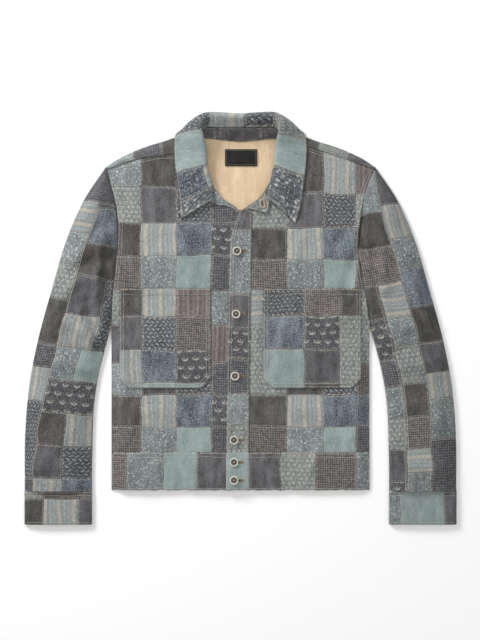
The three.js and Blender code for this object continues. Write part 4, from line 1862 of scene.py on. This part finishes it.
@dataclass
class Cuff:
    """One cuff, a flat band round the sleeve's end."""

    side: Side
    wardrobe: Wardrobe
    crown: float = 1.6
    shade: float = -1.8

    def place(self, u: Array, v: Array) -> Array:
        """Points all round the cuff: u under 117 is the upper layer.

        Args:
            u: Places' u.
            v: Places' v.

        Returns:
            The points.
        """
        width = CUFF_OUTER_X - CUFF_INNER_X
        upper = u <= SLEEVE_WIDTH
        a = np.where(upper, u, 2 * SLEEVE_WIDTH - u) / SLEEVE_WIDTH * width
        b = width - a
        x = CUFF_OUTER_X + 0.4 - a * (width + 0.8) / width
        r = TOP / 2 + 0.5
        near = np.minimum(a, b)
        half = r * fold_bend(near, r)
        crown = self.crown * blend(0, 22, near) + 0.5 * soft_noise(x, v, 42.0, 6.0)
        roll = 0.9 * np.exp(-(v - CUFF_EDGE_Y) / 2.2) + 0.35 * np.exp(-(CUFF_SEAM_Y - v) / 2.0)
        pucker = 0.3 * np.sin(x / 1.6) * np.exp(-(CUFF_SEAM_Y - v) / 6)
        top = r + half + (crown + pucker) * blend(0, 8, near) - roll
        z = np.where(upper, top, r - half)
        return np.stack([self.side.value * x, v, np.maximum(z, 0)], axis=-1)

    def build(self) -> None:
        """Makes the cuff."""
        word = self.side.word
        rows = (CUFF_SEAM_Y + 1.5, CUFF_SEAM_Y - 14, CUFF_EDGE_Y)
        if self.side is Side.RIGHT:
            chart = Chart((0, 33, 94, 117, 175, 234), rows, ("FBBDP", "CSPDB"))
        else:
            chart = Chart((0, 21, 98, 117, 175, 234), rows, ("PTDSP", "PTDSP"))
        FoldedSheet(f"cuff_{word}_cloth", chart, self.place, shade=self.shade,
                    facing=-self.side.value, upright=False, step=3.2).build(
            self.wardrobe, Cut([f"cuff_{word}"], (0.235, 0.06), [f"sleeve_{word}_cloth"]))


# ------------------------------------------------------------------ collar


LEAF_FRONTS: dict[Side, Line] = {
    Side.RIGHT: ((74, 192.5, 9.9), (88, 183.5, 7.9), (104, 174, 7)),
    Side.LEFT: ((71, 188.5, 9.9), (83.5, 177.6, 8.2), (95.7, 167, 7)),
}
LEAF_STATIONS: Sequence[Line] = (
    ((50, 212, 9.5), (46.5, 209, 10.8), (51, 206, 12)),
    ((55, 236, 9.7), (50, 233.5, 11.2), (54.5, 232, 12.6), (78, 223, 10.6), (93, 215, 8.2),
     (106, 207, 7)),
    ((61.5, 261, 10.2), (56.8, 261, 12), (61.5, 260.5, 13.5), (84, 254, 11), (98.5, 249.5, 8.4),
     (111, 245, 7)),
    ((65.5, 295, 12), (60.5, 296, 14.6), (65, 296.5, 16.4), (87, 291.5, 12), (102.5, 288, 8.8),
     (114.5, 284, 7)),
    ((67, 314, 15.8), (64, 316, 20.5), (67.5, 318.5, 22.8), (88, 315.5, 16), (103.5, 312.5, 9.6),
     (114.5, 303.5, 7.1)),
    ((67, 322.5, 17.4), (66, 327, 24), (70, 331, 26.5), (88, 329, 19.5), (104, 324.5, 11),
     (112, 321.5, 7)),
    ((65, 328, 18), (66, 338, 26.8), (70, 342.5, 28), (85, 341, 20.5), (97, 334, 9.5),
     (96, 329.5, 2.5)),
    ((60, 332, 18.4), (59, 349, 29.3), (60, 354.5, 28.5), (66, 355.2, 20), (69, 352, 8),
     (64, 341, 1)),
    ((33, 332, 18.7), (33, 349.8, 30), (33, 355.5, 28), (34, 356.6, 18.5), (34, 354, 7),
     (33, 341, 1)),
    ((0, 332, 18.7), (0, 348.5, 30), (0, 353.5, 27.8), (0, 354.8, 18.5), (0, 352, 7),
     (0, 340, 1)),
)
LEFT_COLLAR_LIFT = (1.5, 1.5, 1.2, 0.6, 0, 0, 0, 0, 0, 0)
STAND_ENDS: dict[Side, Sequence[Line]] = {
    Side.RIGHT: (((4.5, 184, 7), (3.6, 187, 7)), ((10, 190, 7), (7, 193.5, 7.1)),
                 ((26, 197.3, 7), (18.5, 201.5, 7.2)), ((38, 198, 7), (31, 209.5, 7.4)),
                 ((58, 208, 7), (43, 224, 7.6)), ((74, 228, 7), (51, 239, 7.8))),
    Side.LEFT: (((-0.5, 185.5, 8.6), (1.5, 188, 8.6)), ((12.5, 192, 8.6), (16, 198.2, 8.6)),
                ((45.5, 186.5, 8.6), (33, 211, 8.8)), ((50, 203, 8.6), (41, 221.5, 8.9)),
                ((62, 212, 8.2), (45, 228, 9)), ((75, 229, 7.8), (51, 239, 9))),
}
STAND_BACK: Sequence[Line] = (
    ((86, 258, 7), (57.5, 262, 8.2)), ((93, 290, 7.2), (61.5, 294, 9.5)),
    ((88, 306, 7.4), (65.5, 309, 12.5)), ((73, 314, 5.8), (66, 321, 15.5)),
    ((60, 314.5, 2.8), (57, 330, 17.5)), ((20, 310.5, 2.4), (20, 331, 18)))
STAND_MIDDLE: Line = ((0, 309, 2.4), (0, 331, 18))


class Rails:
    """A curved sheet through stations of points, crossed smoothly."""

    def __init__(self, stations: Sequence[Line], per_span: int) -> None:
        """Runs a smooth rail through the same point of each station.

        Args:
            stations: Lines with as many points each.
            per_span: How many steps go between two stations.
        """
        self.count = len(stations) - 1
        rails = [smooth_line([s[k] for s in stations], per_span) for k in range(len(stations[0]))]
        self.rails = np.stack(rails, axis=1)
        crossings = [smooth_line(row, 8) if len(row) > 2 else row for row in self.rails]
        self.crossings = np.stack(crossings)

    def place(self, u: Array, v: Array) -> Array:
        """Points at u stations along and v spans across.

        Args:
            u: Places' u.
            v: Places' v.

        Returns:
            The points.
        """
        along = np.clip(u / self.count, 0, 1) * (len(self.crossings) - 1)
        spans = self.rails.shape[1] - 1
        across = np.clip(v / spans, 0, 1) * (self.crossings.shape[1] - 1)
        i = np.minimum(along.astype(int), len(self.crossings) - 2)
        j = np.minimum(across.astype(int), self.crossings.shape[1] - 2)
        s, t = (along - i)[..., None], (across - j)[..., None]
        c = self.crossings
        low = c[i, j] * (1 - s) + c[i + 1, j] * s
        high = c[i, j + 1] * (1 - s) + c[i + 1, j + 1] * s
        return low * (1 - t) + high * t


@dataclass
class Collar:
    """The collar: its stand, and the leaf that folds over it.

    Args:
        wardrobe: The cloth materials.
        station_length: The cloth from one station of the leaf to the next.
        span_length: The leaf's cloth from one point of a station to the next.
        stand_length: The cloth from one station of the stand to the next.
        stand_height: The stand's cloth from its seam to its top.
    """

    wardrobe: Wardrobe
    station_length: float = 19.0
    span_length: float = 12.0
    stand_length: float = 14.0
    stand_height: float = 24.0

    def leaf_stations(self) -> list[list[Point]]:
        """The leaf's stations from the wearer's right front round to the left.

        Returns:
            The stations.
        """
        halves = []
        for side in Side:
            half = []
            for index, station in enumerate(LEAF_STATIONS):
                path = list(station)
                if index == 0:
                    path += LEAF_FRONTS[side]
                lift = LEFT_COLLAR_LIFT[index] if side is Side.LEFT else 0.0
                half.append([(side.value * x, y, z + (lift if k < 4 else 0.0))
                             for k, (x, y, z) in enumerate(path)])
            halves.append(half)
        return halves[0] + halves[1][::-1][1:]

    def leaf(self) -> None:
        """Makes the leaf."""
        rails = Rails(self.leaf_stations(), 8)
        along, across = self.station_length, self.span_length

        def place(u: Array, v: Array) -> Array:
            """The leaf, with ripples at its free edge.

            Args:
                u: Places' u.
                v: Places' v.

            Returns:
                The points.
            """
            point = rails.place(u / along, v / across)
            ripple = 0.3 * np.sin(u / 3.1 + np.sin(u / 17)) * blend(44, 58, v)
            clear = 1.3 * blend(20, 44, v) + 0.8 * soft_noise(u, v, 30.0, 2.0) * blend(8, 24, v)
            return point + np.stack([0 * u, 0 * u, ripple + clear], axis=-1)

        stations = (0, 0.9, 2.2, 4.7, 7.3, 9.2, 11.0, 13.9, 15.9, 17.4, 18)
        chart = Chart([along * k for k in stations], (across * 5, across * 2.2, 0),
                      ("OVTNTNFTO.", "OSTNSNFTO."))
        Sheet("collar_leaf_cloth", chart, place, upright=False, inner=None, offset=0.0,
              step=2.6, thickness=1.5, puff=0.3, turned=True).build(
            self.wardrobe, Cut(["collar_fall"], (0.36, 0.07),
                          ["front_right_cloth", "front_left_cloth", "floor"], 0.0228))

    def stand(self) -> None:
        """Makes the stand with its turned-out buttonhole end."""
        halves = [
            [mirrored(pair, side) for pair in (*STAND_ENDS[side], *STAND_BACK)] for side in Side]
        rails = Rails(halves[0] + [list(STAND_MIDDLE)] + halves[1][::-1], 8)
        along, tall = self.stand_length, self.stand_height

        def place(u: Array, v: Array) -> Array:
            """The stand, from its seam up."""
            return rails.place(u / along, v / tall)

        stations = (0, 4, 8, 10.5, 13.5, 18, 21, 24)
        chart = Chart([along * k for k in stations], (tall, 0), ("DFPPPPF",))
        Sheet("collar_stand_cloth", chart, place, upright=False, inner=None, offset=0.0,
              step=2.4, puff=0.3, turned=True).build(
            self.wardrobe, Cut(["collar_stand"], (0.4, 0.034),
                          ["back_cloth", "front_right_cloth", "front_left_cloth"], 0.0105))

    def build(self) -> None:
        """Makes both pieces."""
        self.leaf()
        self.stand()


# ------------------------------------------------------------------ thread


@dataclass
class Stitching:
    """Stitches of one thread, gathered run by run and joined in one mesh.

    Sewing thread is 0.4 mm thick. It is drawn coarser, so that the rows show.
    """

    name: str
    finish: PlainFinish
    radius: float
    length: float
    gap: float
    parts: list[Array] = field(default_factory=list)

    def beads(self, centres: Array, ways: Array, normals: Array,
              length: float | Array, radius: float) -> None:
        """Adds stitches, each a small bead with pointed ends.

        Args:
            centres: The stitches' middles.
            ways: Their directions.
            normals: The cloth's normals there.
            length: Their length.
            radius: Their radius.
        """
        ways = ways / np.maximum(np.linalg.norm(ways, axis=1, keepdims=True), 1e-9)
        across = np.cross(normals, ways)
        half = np.broadcast_to(np.asarray(length) / 2, (len(centres),))[:, None]
        for x, y, z in self.bead_shape():
            self.parts.append(centres + ways * (x * half) + across * (y * radius)
                              + normals * (z * radius))

    @staticmethod
    def bead_shape() -> list[tuple[float, float, float]]:
        """The ten points of a bead: a tip, two rings of four, and a tip."""
        ring = ((0, 1), (1, 0), (0, -1), (-1, 0))
        return ([(-1.0, 0.0, 0.0)] + [
            (-0.55, y, z) for y, z in ring] + [(0.55, y, z) for y, z in ring] + [(1.0, 0.0, 0.0)])

    def run(self, sheet: Sheet, u: Sequence[float], v: Sequence[float],
            uneven: float = 0.0, seed: int = 0) -> None:
        """Sews a row along a line on a sheet.

        Args:
            sheet: The cloth.
            u: The line's corners, u.
            v: The line's corners, v.
            uneven: How far hand-sewn stitches stray, as a share of their length.
            seed: Which straying it is.
        """
        corners = np.column_stack([u, v]).astype(float)
        spans = np.linalg.norm(np.diff(corners, axis=0), axis=1)
        run = np.concatenate([[0], np.cumsum(spans)])
        fine = np.linspace(0, run[-1], max(3, int(run[-1] / 0.8)))
        fu, fv = (np.interp(fine, run, corners[:, k]) for k in (0, 1))
        points, normals, held = sheet.surface(fu, fv)
        steps = np.linalg.norm(np.diff(points, axis=0), axis=1)
        length = np.concatenate([[0], np.cumsum(np.where(steps < 6, steps, 0))])
        pitch = self.length + self.gap
        count = int(length[-1] / pitch)
        if count < 1:
            return
        chance = np.random.default_rng(seed)
        middles = (np.arange(count) + 0.5) * pitch + chance.uniform(-1, 1, count) * uneven
        index = np.clip(np.searchsorted(length, middles), 1, len(length) - 1)
        ways = points[index] - points[index - 1]
        keep = held[index] & (np.linalg.norm(ways, axis=1) > 1e-3)
        sway = chance.uniform(-1, 1, (count, 1)) * uneven * 0.3
        ways = ways / np.maximum(np.linalg.norm(ways, axis=1, keepdims=True), 1e-9)
        side = np.cross(normals[index], ways)
        centres = points[index] + normals[index] * 0.12 + side * sway
        sizes = self.length * (1 + chance.uniform(-1, 1, count) * min(uneven, 0.35))
        self.beads(centres[keep], (ways + side * sway)[keep], normals[index][keep],
                   sizes[keep], self.radius)

    def build(self, cover: BVHTree | None) -> None:
        """Joins the stitches that nothing lies over.

        Args:
            cover: The cloth, to find what is covered, or None to keep all.
        """
        groups = [self.parts[k : k + 10] for k in range(0, len(self.parts), 10)]
        stitches = np.concatenate([np.stack(group, axis=1) for group in groups])
        if cover is not None:
            clear = Vector((0, 0, 0.7)) * MM
            seen = [cover.ray_cast(Vector(c * MM) + clear, UP)[0] is None
                    for c in stitches.mean(axis=1)]
            stitches = stitches[np.array(seen)]
        faces = []
        for k in range(4):
            n = (k + 1) % 4
            faces += [(0, 1 + n, 1 + k), (1 + k, 1 + n, 5 + n, 5 + k), (9, 5 + k, 5 + n)]
        whole = [tuple(10 * i + k for k in face) for i in range(len(stitches)) for face in faces]
        mesh = bpy.data.meshes.new(self.name)
        mesh.from_pydata(stitches.reshape(-1, 3) * MM, [], whole)
        mesh.materials.append(self.finish.make())
        obj = link(self.name, mesh)
        select_only(obj)
        bpy.ops.object.mode_set(mode="EDIT")
        bpy.ops.mesh.select_all(action="SELECT")
        bpy.ops.mesh.normals_make_consistent(inside=False)
        bpy.ops.object.mode_set(mode="OBJECT")
        bpy.ops.object.shade_smooth()
        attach(obj, "root")
        LOG.info("%s: %d stitches", self.name, len(stitches))


UP = Vector((0, 0, 1))


def top_height(cover: BVHTree, x: float, y: float) -> float:
    """The height of the topmost cloth at a place."""
    hit = cover.ray_cast(Vector((x * MM, y * MM, 0.1)), -UP)[0]
    return hit.z / MM if hit else 0.0


def covering(pieces: Sequence[bpy.types.Object]) -> BVHTree:
    """The pieces' surfaces as one tree, to find what lies over a place.

    Args:
        pieces: The finished cloth pieces.

    Returns:
        The tree.
    """
    vertices: list[Vector] = []
    polygons: list[tuple[int, ...]] = []
    for obj in pieces:
        start = len(vertices)
        vertices += [v.co.copy() for v in obj.data.vertices]
        polygons += [tuple(start + k for k in p.vertices) for p in obj.data.polygons]
    return BVHTree.FromPolygons(vertices, polygons)


@dataclass
class Sewing:
    """All the thread that shows on the cloth.

    Args:
        wardrobe: The sheets made so far.
        inset: From a pocket's edge to its first row of topstitching.
        double: From its edge to the second row.
        beside: From a patch's border to its hand stitches.
        straying: How far hand stitches stray.
    """

    wardrobe: Wardrobe
    inset: float = 2.4
    double: float = 7.2
    beside: float = 1.9
    straying: float = 0.7

    def patch_edges(self, thread: Stitching) -> None:
        """Sews small hand stitches along the patches' borders.

        Args:
            thread: The thread.
        """
        for name, sheet in self.wardrobe.sheets.items():
            if name == "waistband_back_cloth":
                continue
            tube = name.startswith(("sleeve", "cuff"))
            patches, _ = sheet.chart.patches()
            left, top = sheet.chart.columns[0], sheet.chart.rows[0]
            for patch in patches:
                if tube and patch.u0 >= SLEEVE_WIDTH - 1:
                    continue
                seed = int(abs(patch.u0 * 7 + patch.v1 * 13)) + 1
                if patch.u0 > left:
                    u = patch.u0 + (self.beside if seed % 2 else -self.beside)
                    thread.run(sheet, (u, u), (patch.v0, patch.v1), self.straying, seed)
                if patch.v1 < top:
                    v = patch.v1 + (-self.beside if seed % 3 else self.beside)
                    thread.run(sheet, (patch.u0, patch.u1), (v, v), self.straying, seed)

    def edges(self, thread: Stitching) -> None:
        """Topstitches the pockets, bands, collar, cuffs and seams.

        Args:
            thread: The thread.
        """
        sheets = self.wardrobe.sheets
        for side in Side:
            word = side.word
            self.pocket(thread, sheets[f"pocket_{word}_cloth"], side)
            self.front(thread, sheets[f"front_{word}_cloth"], side)
            cuff = sheets[f"cuff_{word}_cloth"]
            for y in (CUFF_SEAM_Y - 2.4, CUFF_SEAM_Y - 8, CUFF_EDGE_Y + 3.4):
                thread.run(cuff, (3, SLEEVE_WIDTH - 3), (y, y))
            lines, top = (((84.2, 89.6), 60) if side is Side.LEFT else ((36.8,), 196))
            for u in lines:
                thread.run(sheets[f"sleeve_{word}_cloth"], (u, u), (top, -299))
        for u in (-22.2, -17.4, 13.6):
            thread.run(sheets["placket_cloth"], (u, u), (188, WAIST_Y))
        for name, ends in (("waistband_right_cloth", (-HALF_BODY + 2, 0)),
                           ("waistband_left_cloth", (-23, HALF_BODY - 2))):
            for y in (WAIST_Y - 2.2, WAIST_Y - 8.4, HEM_Y + 3):
                thread.run(sheets[name], ends, (y, y))
        thread.run(sheets["waistband_left_cloth"], (-22.6, -22.6), (HEM_Y + 3, WAIST_Y - 2))
        start, end = 2.2, 339.8
        thread.run(sheets["collar_leaf_cloth"], (start, start, end, end), (26, 57.4, 57.4, 26))

    def pocket(self, thread: Stitching, sheet: Sheet, side: Side) -> None:
        """Topstitches one pocket: its edge, a second row, and the hem at its top.

        Args:
            thread: The thread.
            sheet: The pocket's cloth.
            side: Which pocket.
        """
        low, high = POCKET_SPANS[side]
        for inset in (self.inset, self.double):
            cut = POCKET_CORNER - 0.42 * inset
            x0, x1, y0 = low + inset, high - inset, POCKET_BOTTOM_Y + inset
            thread.run(sheet, (x0, x0, x0 + cut, x1 - cut, x1, x1),
                       (POCKET_TOP_Y - 1, y0 + cut, y0, y0, y0 + cut, POCKET_TOP_Y - 1))
        for y in (POCKET_TOP_Y - 1.8, POCKET_TOP_Y - 10.4):
            thread.run(sheet, (low + 2, high - 2), (y, y))

    def front(self, thread: Stitching, sheet: Sheet, side: Side) -> None:
        """Topstitches one front's armhole and forward seam.

        Args:
            thread: The thread.
            sheet: The front's cloth.
            side: Which front.
        """
        sign = side.value
        armhole = smooth_line(ARMHOLES[side])[4:-4]
        seam = smooth_line(FORWARD_SEAMS[side])[3:-3]
        for inset in (2.2, 7.4):
            thread.run(sheet, sign * (armhole[:, 0] - inset), armhole[:, 1])
            thread.run(sheet, sign * seam[:, 0], seam[:, 1] - inset)

    def bar_tacks(self, thread: Stitching) -> None:
        """Sews a dense bar at each top corner of the pockets.

        Args:
            thread: The thread.
        """
        for side in Side:
            sheet = self.wardrobe.sheets[f"pocket_{side.word}_cloth"]
            low, high = POCKET_SPANS[side]
            for x0 in (low + 1.5, high - 13.5):
                for x in (x0 + k for k in range(12)):
                    thread.run(sheet, (x, x + 0.6), (POCKET_TOP_Y - 5.2, POCKET_TOP_Y - 1.2))

    def build(self) -> BVHTree:
        """Sews everything.

        Returns:
            The tree of the cloth below.
        """
        cover = covering(self.wardrobe.pieces)
        for thread, sew in (
                (Stitching("patch_edge_stitches", PATCH_THREAD, 0.42, 2.4, 2.0), self.patch_edges),
                (Stitching("topstitching", PALE_THREAD, 0.46, 2.7, 0.8), self.edges),
                (Stitching("pocket_bar_tacks", TAN_THREAD, 0.42, 3.4, 0.3), self.bar_tacks)):
            sew(thread)
            thread.build(cover)
        return cover


@dataclass
class Buttonholes:
    """Worked buttonholes: a ridge of twist round a slit, whose shadow is painted as a dark bead.

    Args:
        cover: The cloth that they lie on.
        long: A placket buttonhole's length.
        wide: Its width.
        ridge: The twist's radius.
        inwards: From a button's middle to its buttonhole's.
        stand: The open one on the stand's end: its middle, turn, length and width.
    """

    cover: BVHTree
    long: float = 18.0
    wide: float = 3.0
    ridge: float = 0.62
    inwards: float = 7.2
    stand: tuple[Point, float, float, float] = ((38.2, 200.5), 1.75, 13.5, 7.0)

    def ring(self, centre: Point, turn: float, long: float, wide: float) -> Array:
        """Points round one buttonhole's edge.

        Args:
            centre: Its middle.
            turn: How far it is turned from level, in radians.
            long: Its length.
            wide: Its width.

        Returns:
            The ring's points, one row each.
        """
        straight, count = (long - wide) / 2, 72
        points = []
        for k in range(count):
            angle = 2 * math.pi * k / count
            x = straight * max(-1, min(1, 1.7 * math.cos(angle))) + wide / 2 * math.cos(angle)
            y = wide / 2 * max(-1, min(1, 1.5 * math.sin(angle)))
            px = centre[0] + x * math.cos(turn) - y * math.sin(turn)
            py = centre[1] + x * math.sin(turn) + y * math.cos(turn)
            points.append((px, py, top_height(self.cover, px, py) + 0.15))
        return np.array(points)

    def build(self) -> None:
        """Makes the six along the placket and the one on the stand's end."""
        thread = Stitching("buttonhole_twist", TAN_THREAD, self.ridge, 1.0, 0.0)
        pale = Stitching("collar_buttonhole_twist", ROSE_THREAD, self.ridge, 1.0, 0.0)
        # Painted shade: a near-black bead in each slit stands for the shadow inside the cut.
        slits = Stitching("buttonhole_slits", SLIT_SHADE, 0.5, 1.0, 0.0)
        places = [((x + self.inwards, y), 0.0, self.long, self.wide) for x, y in BUTTONS]
        for centre, turn, long, wide in (*places, self.stand):
            points = self.ring(centre, turn, long, wide)
            middle = points.mean(axis=0)
            outward = points - middle
            outward[:, 2] = 0
            axis = np.array([math.cos(turn), math.sin(turn), 0])
            straight = (long - wide) / 2
            run = np.clip(outward @ axis, -straight, straight)
            ways = outward - run[:, None] * axis
            normals = np.tile([0.0, 0.0, 1.0], (len(points), 1))
            used = thread if wide == self.wide else pale
            used.beads(points, ways, normals, 1.9 * wide / self.wide, self.ridge)
            slits.beads(middle[None] + [0, 0, 0.05], axis[None], normals[:1], long - 2.4, 0.55)
        for stitching in (thread, pale, slits):
            stitching.build(None)


@dataclass
class RingButton:
    """A moulded ring button with a dished middle, sewn on with a cross of thread.

    Args:
        cover: The cloth that it lies on.
        radius: Its radius.
        height: Its thickness.
        rim: The ring's width.
        steps: Insets inside the rim, each with its width and rise.
        rounding: How far its edges are rounded.
    """

    cover: BVHTree
    radius: float = 7.5
    height: float = 3.1
    rim: float = 2.1
    steps: Line = ((0.45, -1.35), (2.3, 0.0), (0.4, 0.75), (1.5, -0.1))
    rounding: float = 0.45

    def model(self) -> bpy.types.Object:
        """Models one button, standing on the origin.

        Returns:
            The button's object.
        """
        select_none()
        bpy.ops.mesh.primitive_cylinder_add(
            vertices=40, radius=self.radius * MM, depth=self.height * MM,
            location=(0, 0, self.height / 2 * MM))
        obj = bpy.context.object
        bpy.ops.object.transform_apply(location=True)
        bpy.ops.object.mode_set(mode="EDIT")
        bpy.ops.mesh.select_all(action="DESELECT")
        bpy.ops.object.mode_set(mode="OBJECT")
        for face in obj.data.polygons:
            face.select = face.normal.z > 0.9
        bpy.ops.object.mode_set(mode="EDIT")
        for wide, rise in ((self.rim, 0.0), *self.steps):
            bpy.ops.mesh.inset(thickness=wide * MM, depth=rise * MM)
        bpy.ops.object.mode_set(mode="OBJECT")
        obj.data.materials.append(BUTTON_RIM.make())
        obj.data.materials.append(BUTTON_DISH.make())
        for face in obj.data.polygons:
            away = math.hypot(face.center.x, face.center.y) / MM
            dished = away < self.radius - self.rim + 0.2 and face.center.z > 0.001
            face.material_index = int(dished)
        rounded = obj.modifiers.new("rounded", "BEVEL")
        rounded.width = self.rounding * MM
        rounded.segments = 3
        rounded.limit_method = "ANGLE"
        rounded.angle_limit = math.radians(40)
        bpy.ops.object.modifier_apply(modifier=rounded.name)
        bpy.ops.object.shade_smooth_by_angle(angle=math.radians(40))
        return obj

    def build(self) -> None:
        """Makes the six buttons and the thread that holds them."""
        first = self.model()
        cross = Stitching("button_thread", PALE_THREAD, 0.42, 3.6, 0.0)
        for index, (x, y) in enumerate(BUTTONS):
            mesh = first.data.copy()
            z = top_height(self.cover, x, y) - 0.1
            turn = 0.4 + 1.1 * index
            for vertex in mesh.vertices:
                vertex.co += Vector((x, y, z)) * MM
            obj = link(f"button_{index + 1}_ring", mesh)
            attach(obj, "root")
            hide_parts(f"button_{index + 1}")
            top = np.array([[x, y, z + self.height - 0.5]] * 2)
            ways = np.array([[math.cos(turn + k), math.sin(turn + k), 0] for k in (0, 1.57)])
            cross.beads(top, ways, np.tile([0.0, 0.0, 1.0], (2, 1)), 3.6, 0.42)
            LOG.info("button_%d_ring", index + 1)
        bpy.data.objects.remove(first)
        cross.build(None)


@dataclass
class NeckLabel:
    """A plain black woven label without any mark, at its middle's place and height."""

    wardrobe: Wardrobe
    x: float = 0.9
    y: float = 281.0
    z: float = 2.65
    width: float = 55.7
    height: float = 29.6

    def place(self, u: Array, v: Array) -> Array:
        """The outer face's points, a little bowed between its sewn ends.

        Args:
            u: Places' u.
            v: Places' v.

        Returns:
            The points.
        """
        bow = 0.7 * np.cos(math.pi * (v - self.y) / self.height)
        ripple = 0.25 * np.sin(u / 6.5) * np.abs(v - self.y) / self.height
        return np.stack([u, v, self.z + bow + ripple], axis=-1)

    def build(self) -> None:
        """Makes the label and the few stitches that hold its ends."""
        x0, x1 = self.x - self.width / 2, self.x + self.width / 2
        y0, y1 = self.y - self.height / 2, self.y + self.height / 2
        sheet = Sheet("neck_label_cloth", Chart((x0, x1), (y1, y0), "L"), self.place,
                      step=1.0, inner=None, thickness=0.8, puff=0.0, turned=True)
        sheet.build(
            self.wardrobe,
            Cut(["neck_label"], (self.width * MM, self.height * MM), ["back_cloth"], slot="label"))
        ends = Stitching("label_thread", LABEL_THREAD, 0.3, 2.0, 1.2)
        for v in (y0 + 1.0, y1 - 1.0):
            ends.run(sheet, (x0 + 1, x1 - 1), (v, v))
        ends.build(None)


# ------------------------------------------------------------------ the studio


@dataclass
class Studio:
    """A white floor, soft lights and a camera straight above."""

    frame_height: float = 1.1136
    lens: float = 85.0
    sensor: float = 36.0

    def floor(self) -> None:
        """Makes the pale floor."""
        select_none()
        bpy.ops.mesh.primitive_plane_add(size=12, location=(0, 0, -0.0002))
        floor = bpy.context.object
        floor.name = "floor"
        shader = Shader("white_paper_sweep")
        surface = shader.add("BsdfPrincipled", {"Base Color": linear("#fbfbfb"), "Roughness": 0.9})
        shader.add("OutputMaterial", {"Surface": surface})
        floor.data.materials.append(shader.material)

    def light(self, name: str, place: Point, size: float, power: float) -> None:
        """Adds a soft square light that looks at the jacket.

        Args:
            name: The light's name.
            place: Where it hangs, in metres.
            size: Its side, in metres.
            power: Its power, in watts.
        """
        lamp = bpy.data.lights.new(name, "AREA")
        lamp.energy = power
        lamp.size = size
        obj = bpy.data.objects.new(name, lamp)
        obj.location = place
        obj.rotation_euler = (-Vector(place)).to_track_quat("-Z", "Y").to_euler()
        bpy.context.scene.collection.objects.link(obj)

    def camera(self) -> None:
        """Makes the camera, looking straight down."""
        data = bpy.data.cameras.new("camera")
        data.lens = self.lens
        data.sensor_width = self.sensor
        camera = bpy.data.objects.new("camera", data)
        distance = self.frame_height * self.lens / self.sensor
        camera.location = (-0.0009, -0.0017, distance + 0.006)
        bpy.context.scene.collection.objects.link(camera)
        bpy.context.scene.camera = camera

    def build(self) -> None:
        """Sets up the whole studio."""
        self.camera()
        self.floor()
        self.light("key", (-1.8, 1.9, 1.15), 0.8, 90)
        self.light("fill", (1.9, -0.9, 2.4), 2.0, 12)
        self.light("top", (0, 0.2, 3.2), 2.0, 30)
        world = bpy.data.worlds.new("studio")
        world.use_nodes = True
        world.node_tree.nodes["Background"].inputs[0].default_value = (1, 1, 1, 1)
        world.node_tree.nodes["Background"].inputs[1].default_value = 0.36
        bpy.context.scene.world = world
        bpy.context.scene.view_settings.view_transform = "Standard"


def main() -> None:
    """Builds the jacket's pieces in order around the CAD frame."""
    logging.basicConfig(level=logging.INFO, format="%(name)s %(message)s")
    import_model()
    wardrobe = Wardrobe()
    Studio().build()
    Back(wardrobe).build()
    Waistband(wardrobe).build()
    for side in Side:
        for piece in (Sleeve, Cuff, Front, Pocket):
            piece(side, wardrobe).build()
    Placket(wardrobe).build()
    Collar(wardrobe).build()
    cover = Sewing(wardrobe).build()
    Buttonholes(cover).build()
    RingButton(cover).build()
    NeckLabel(wardrobe).build()


if __name__ == "__main__":
    main()
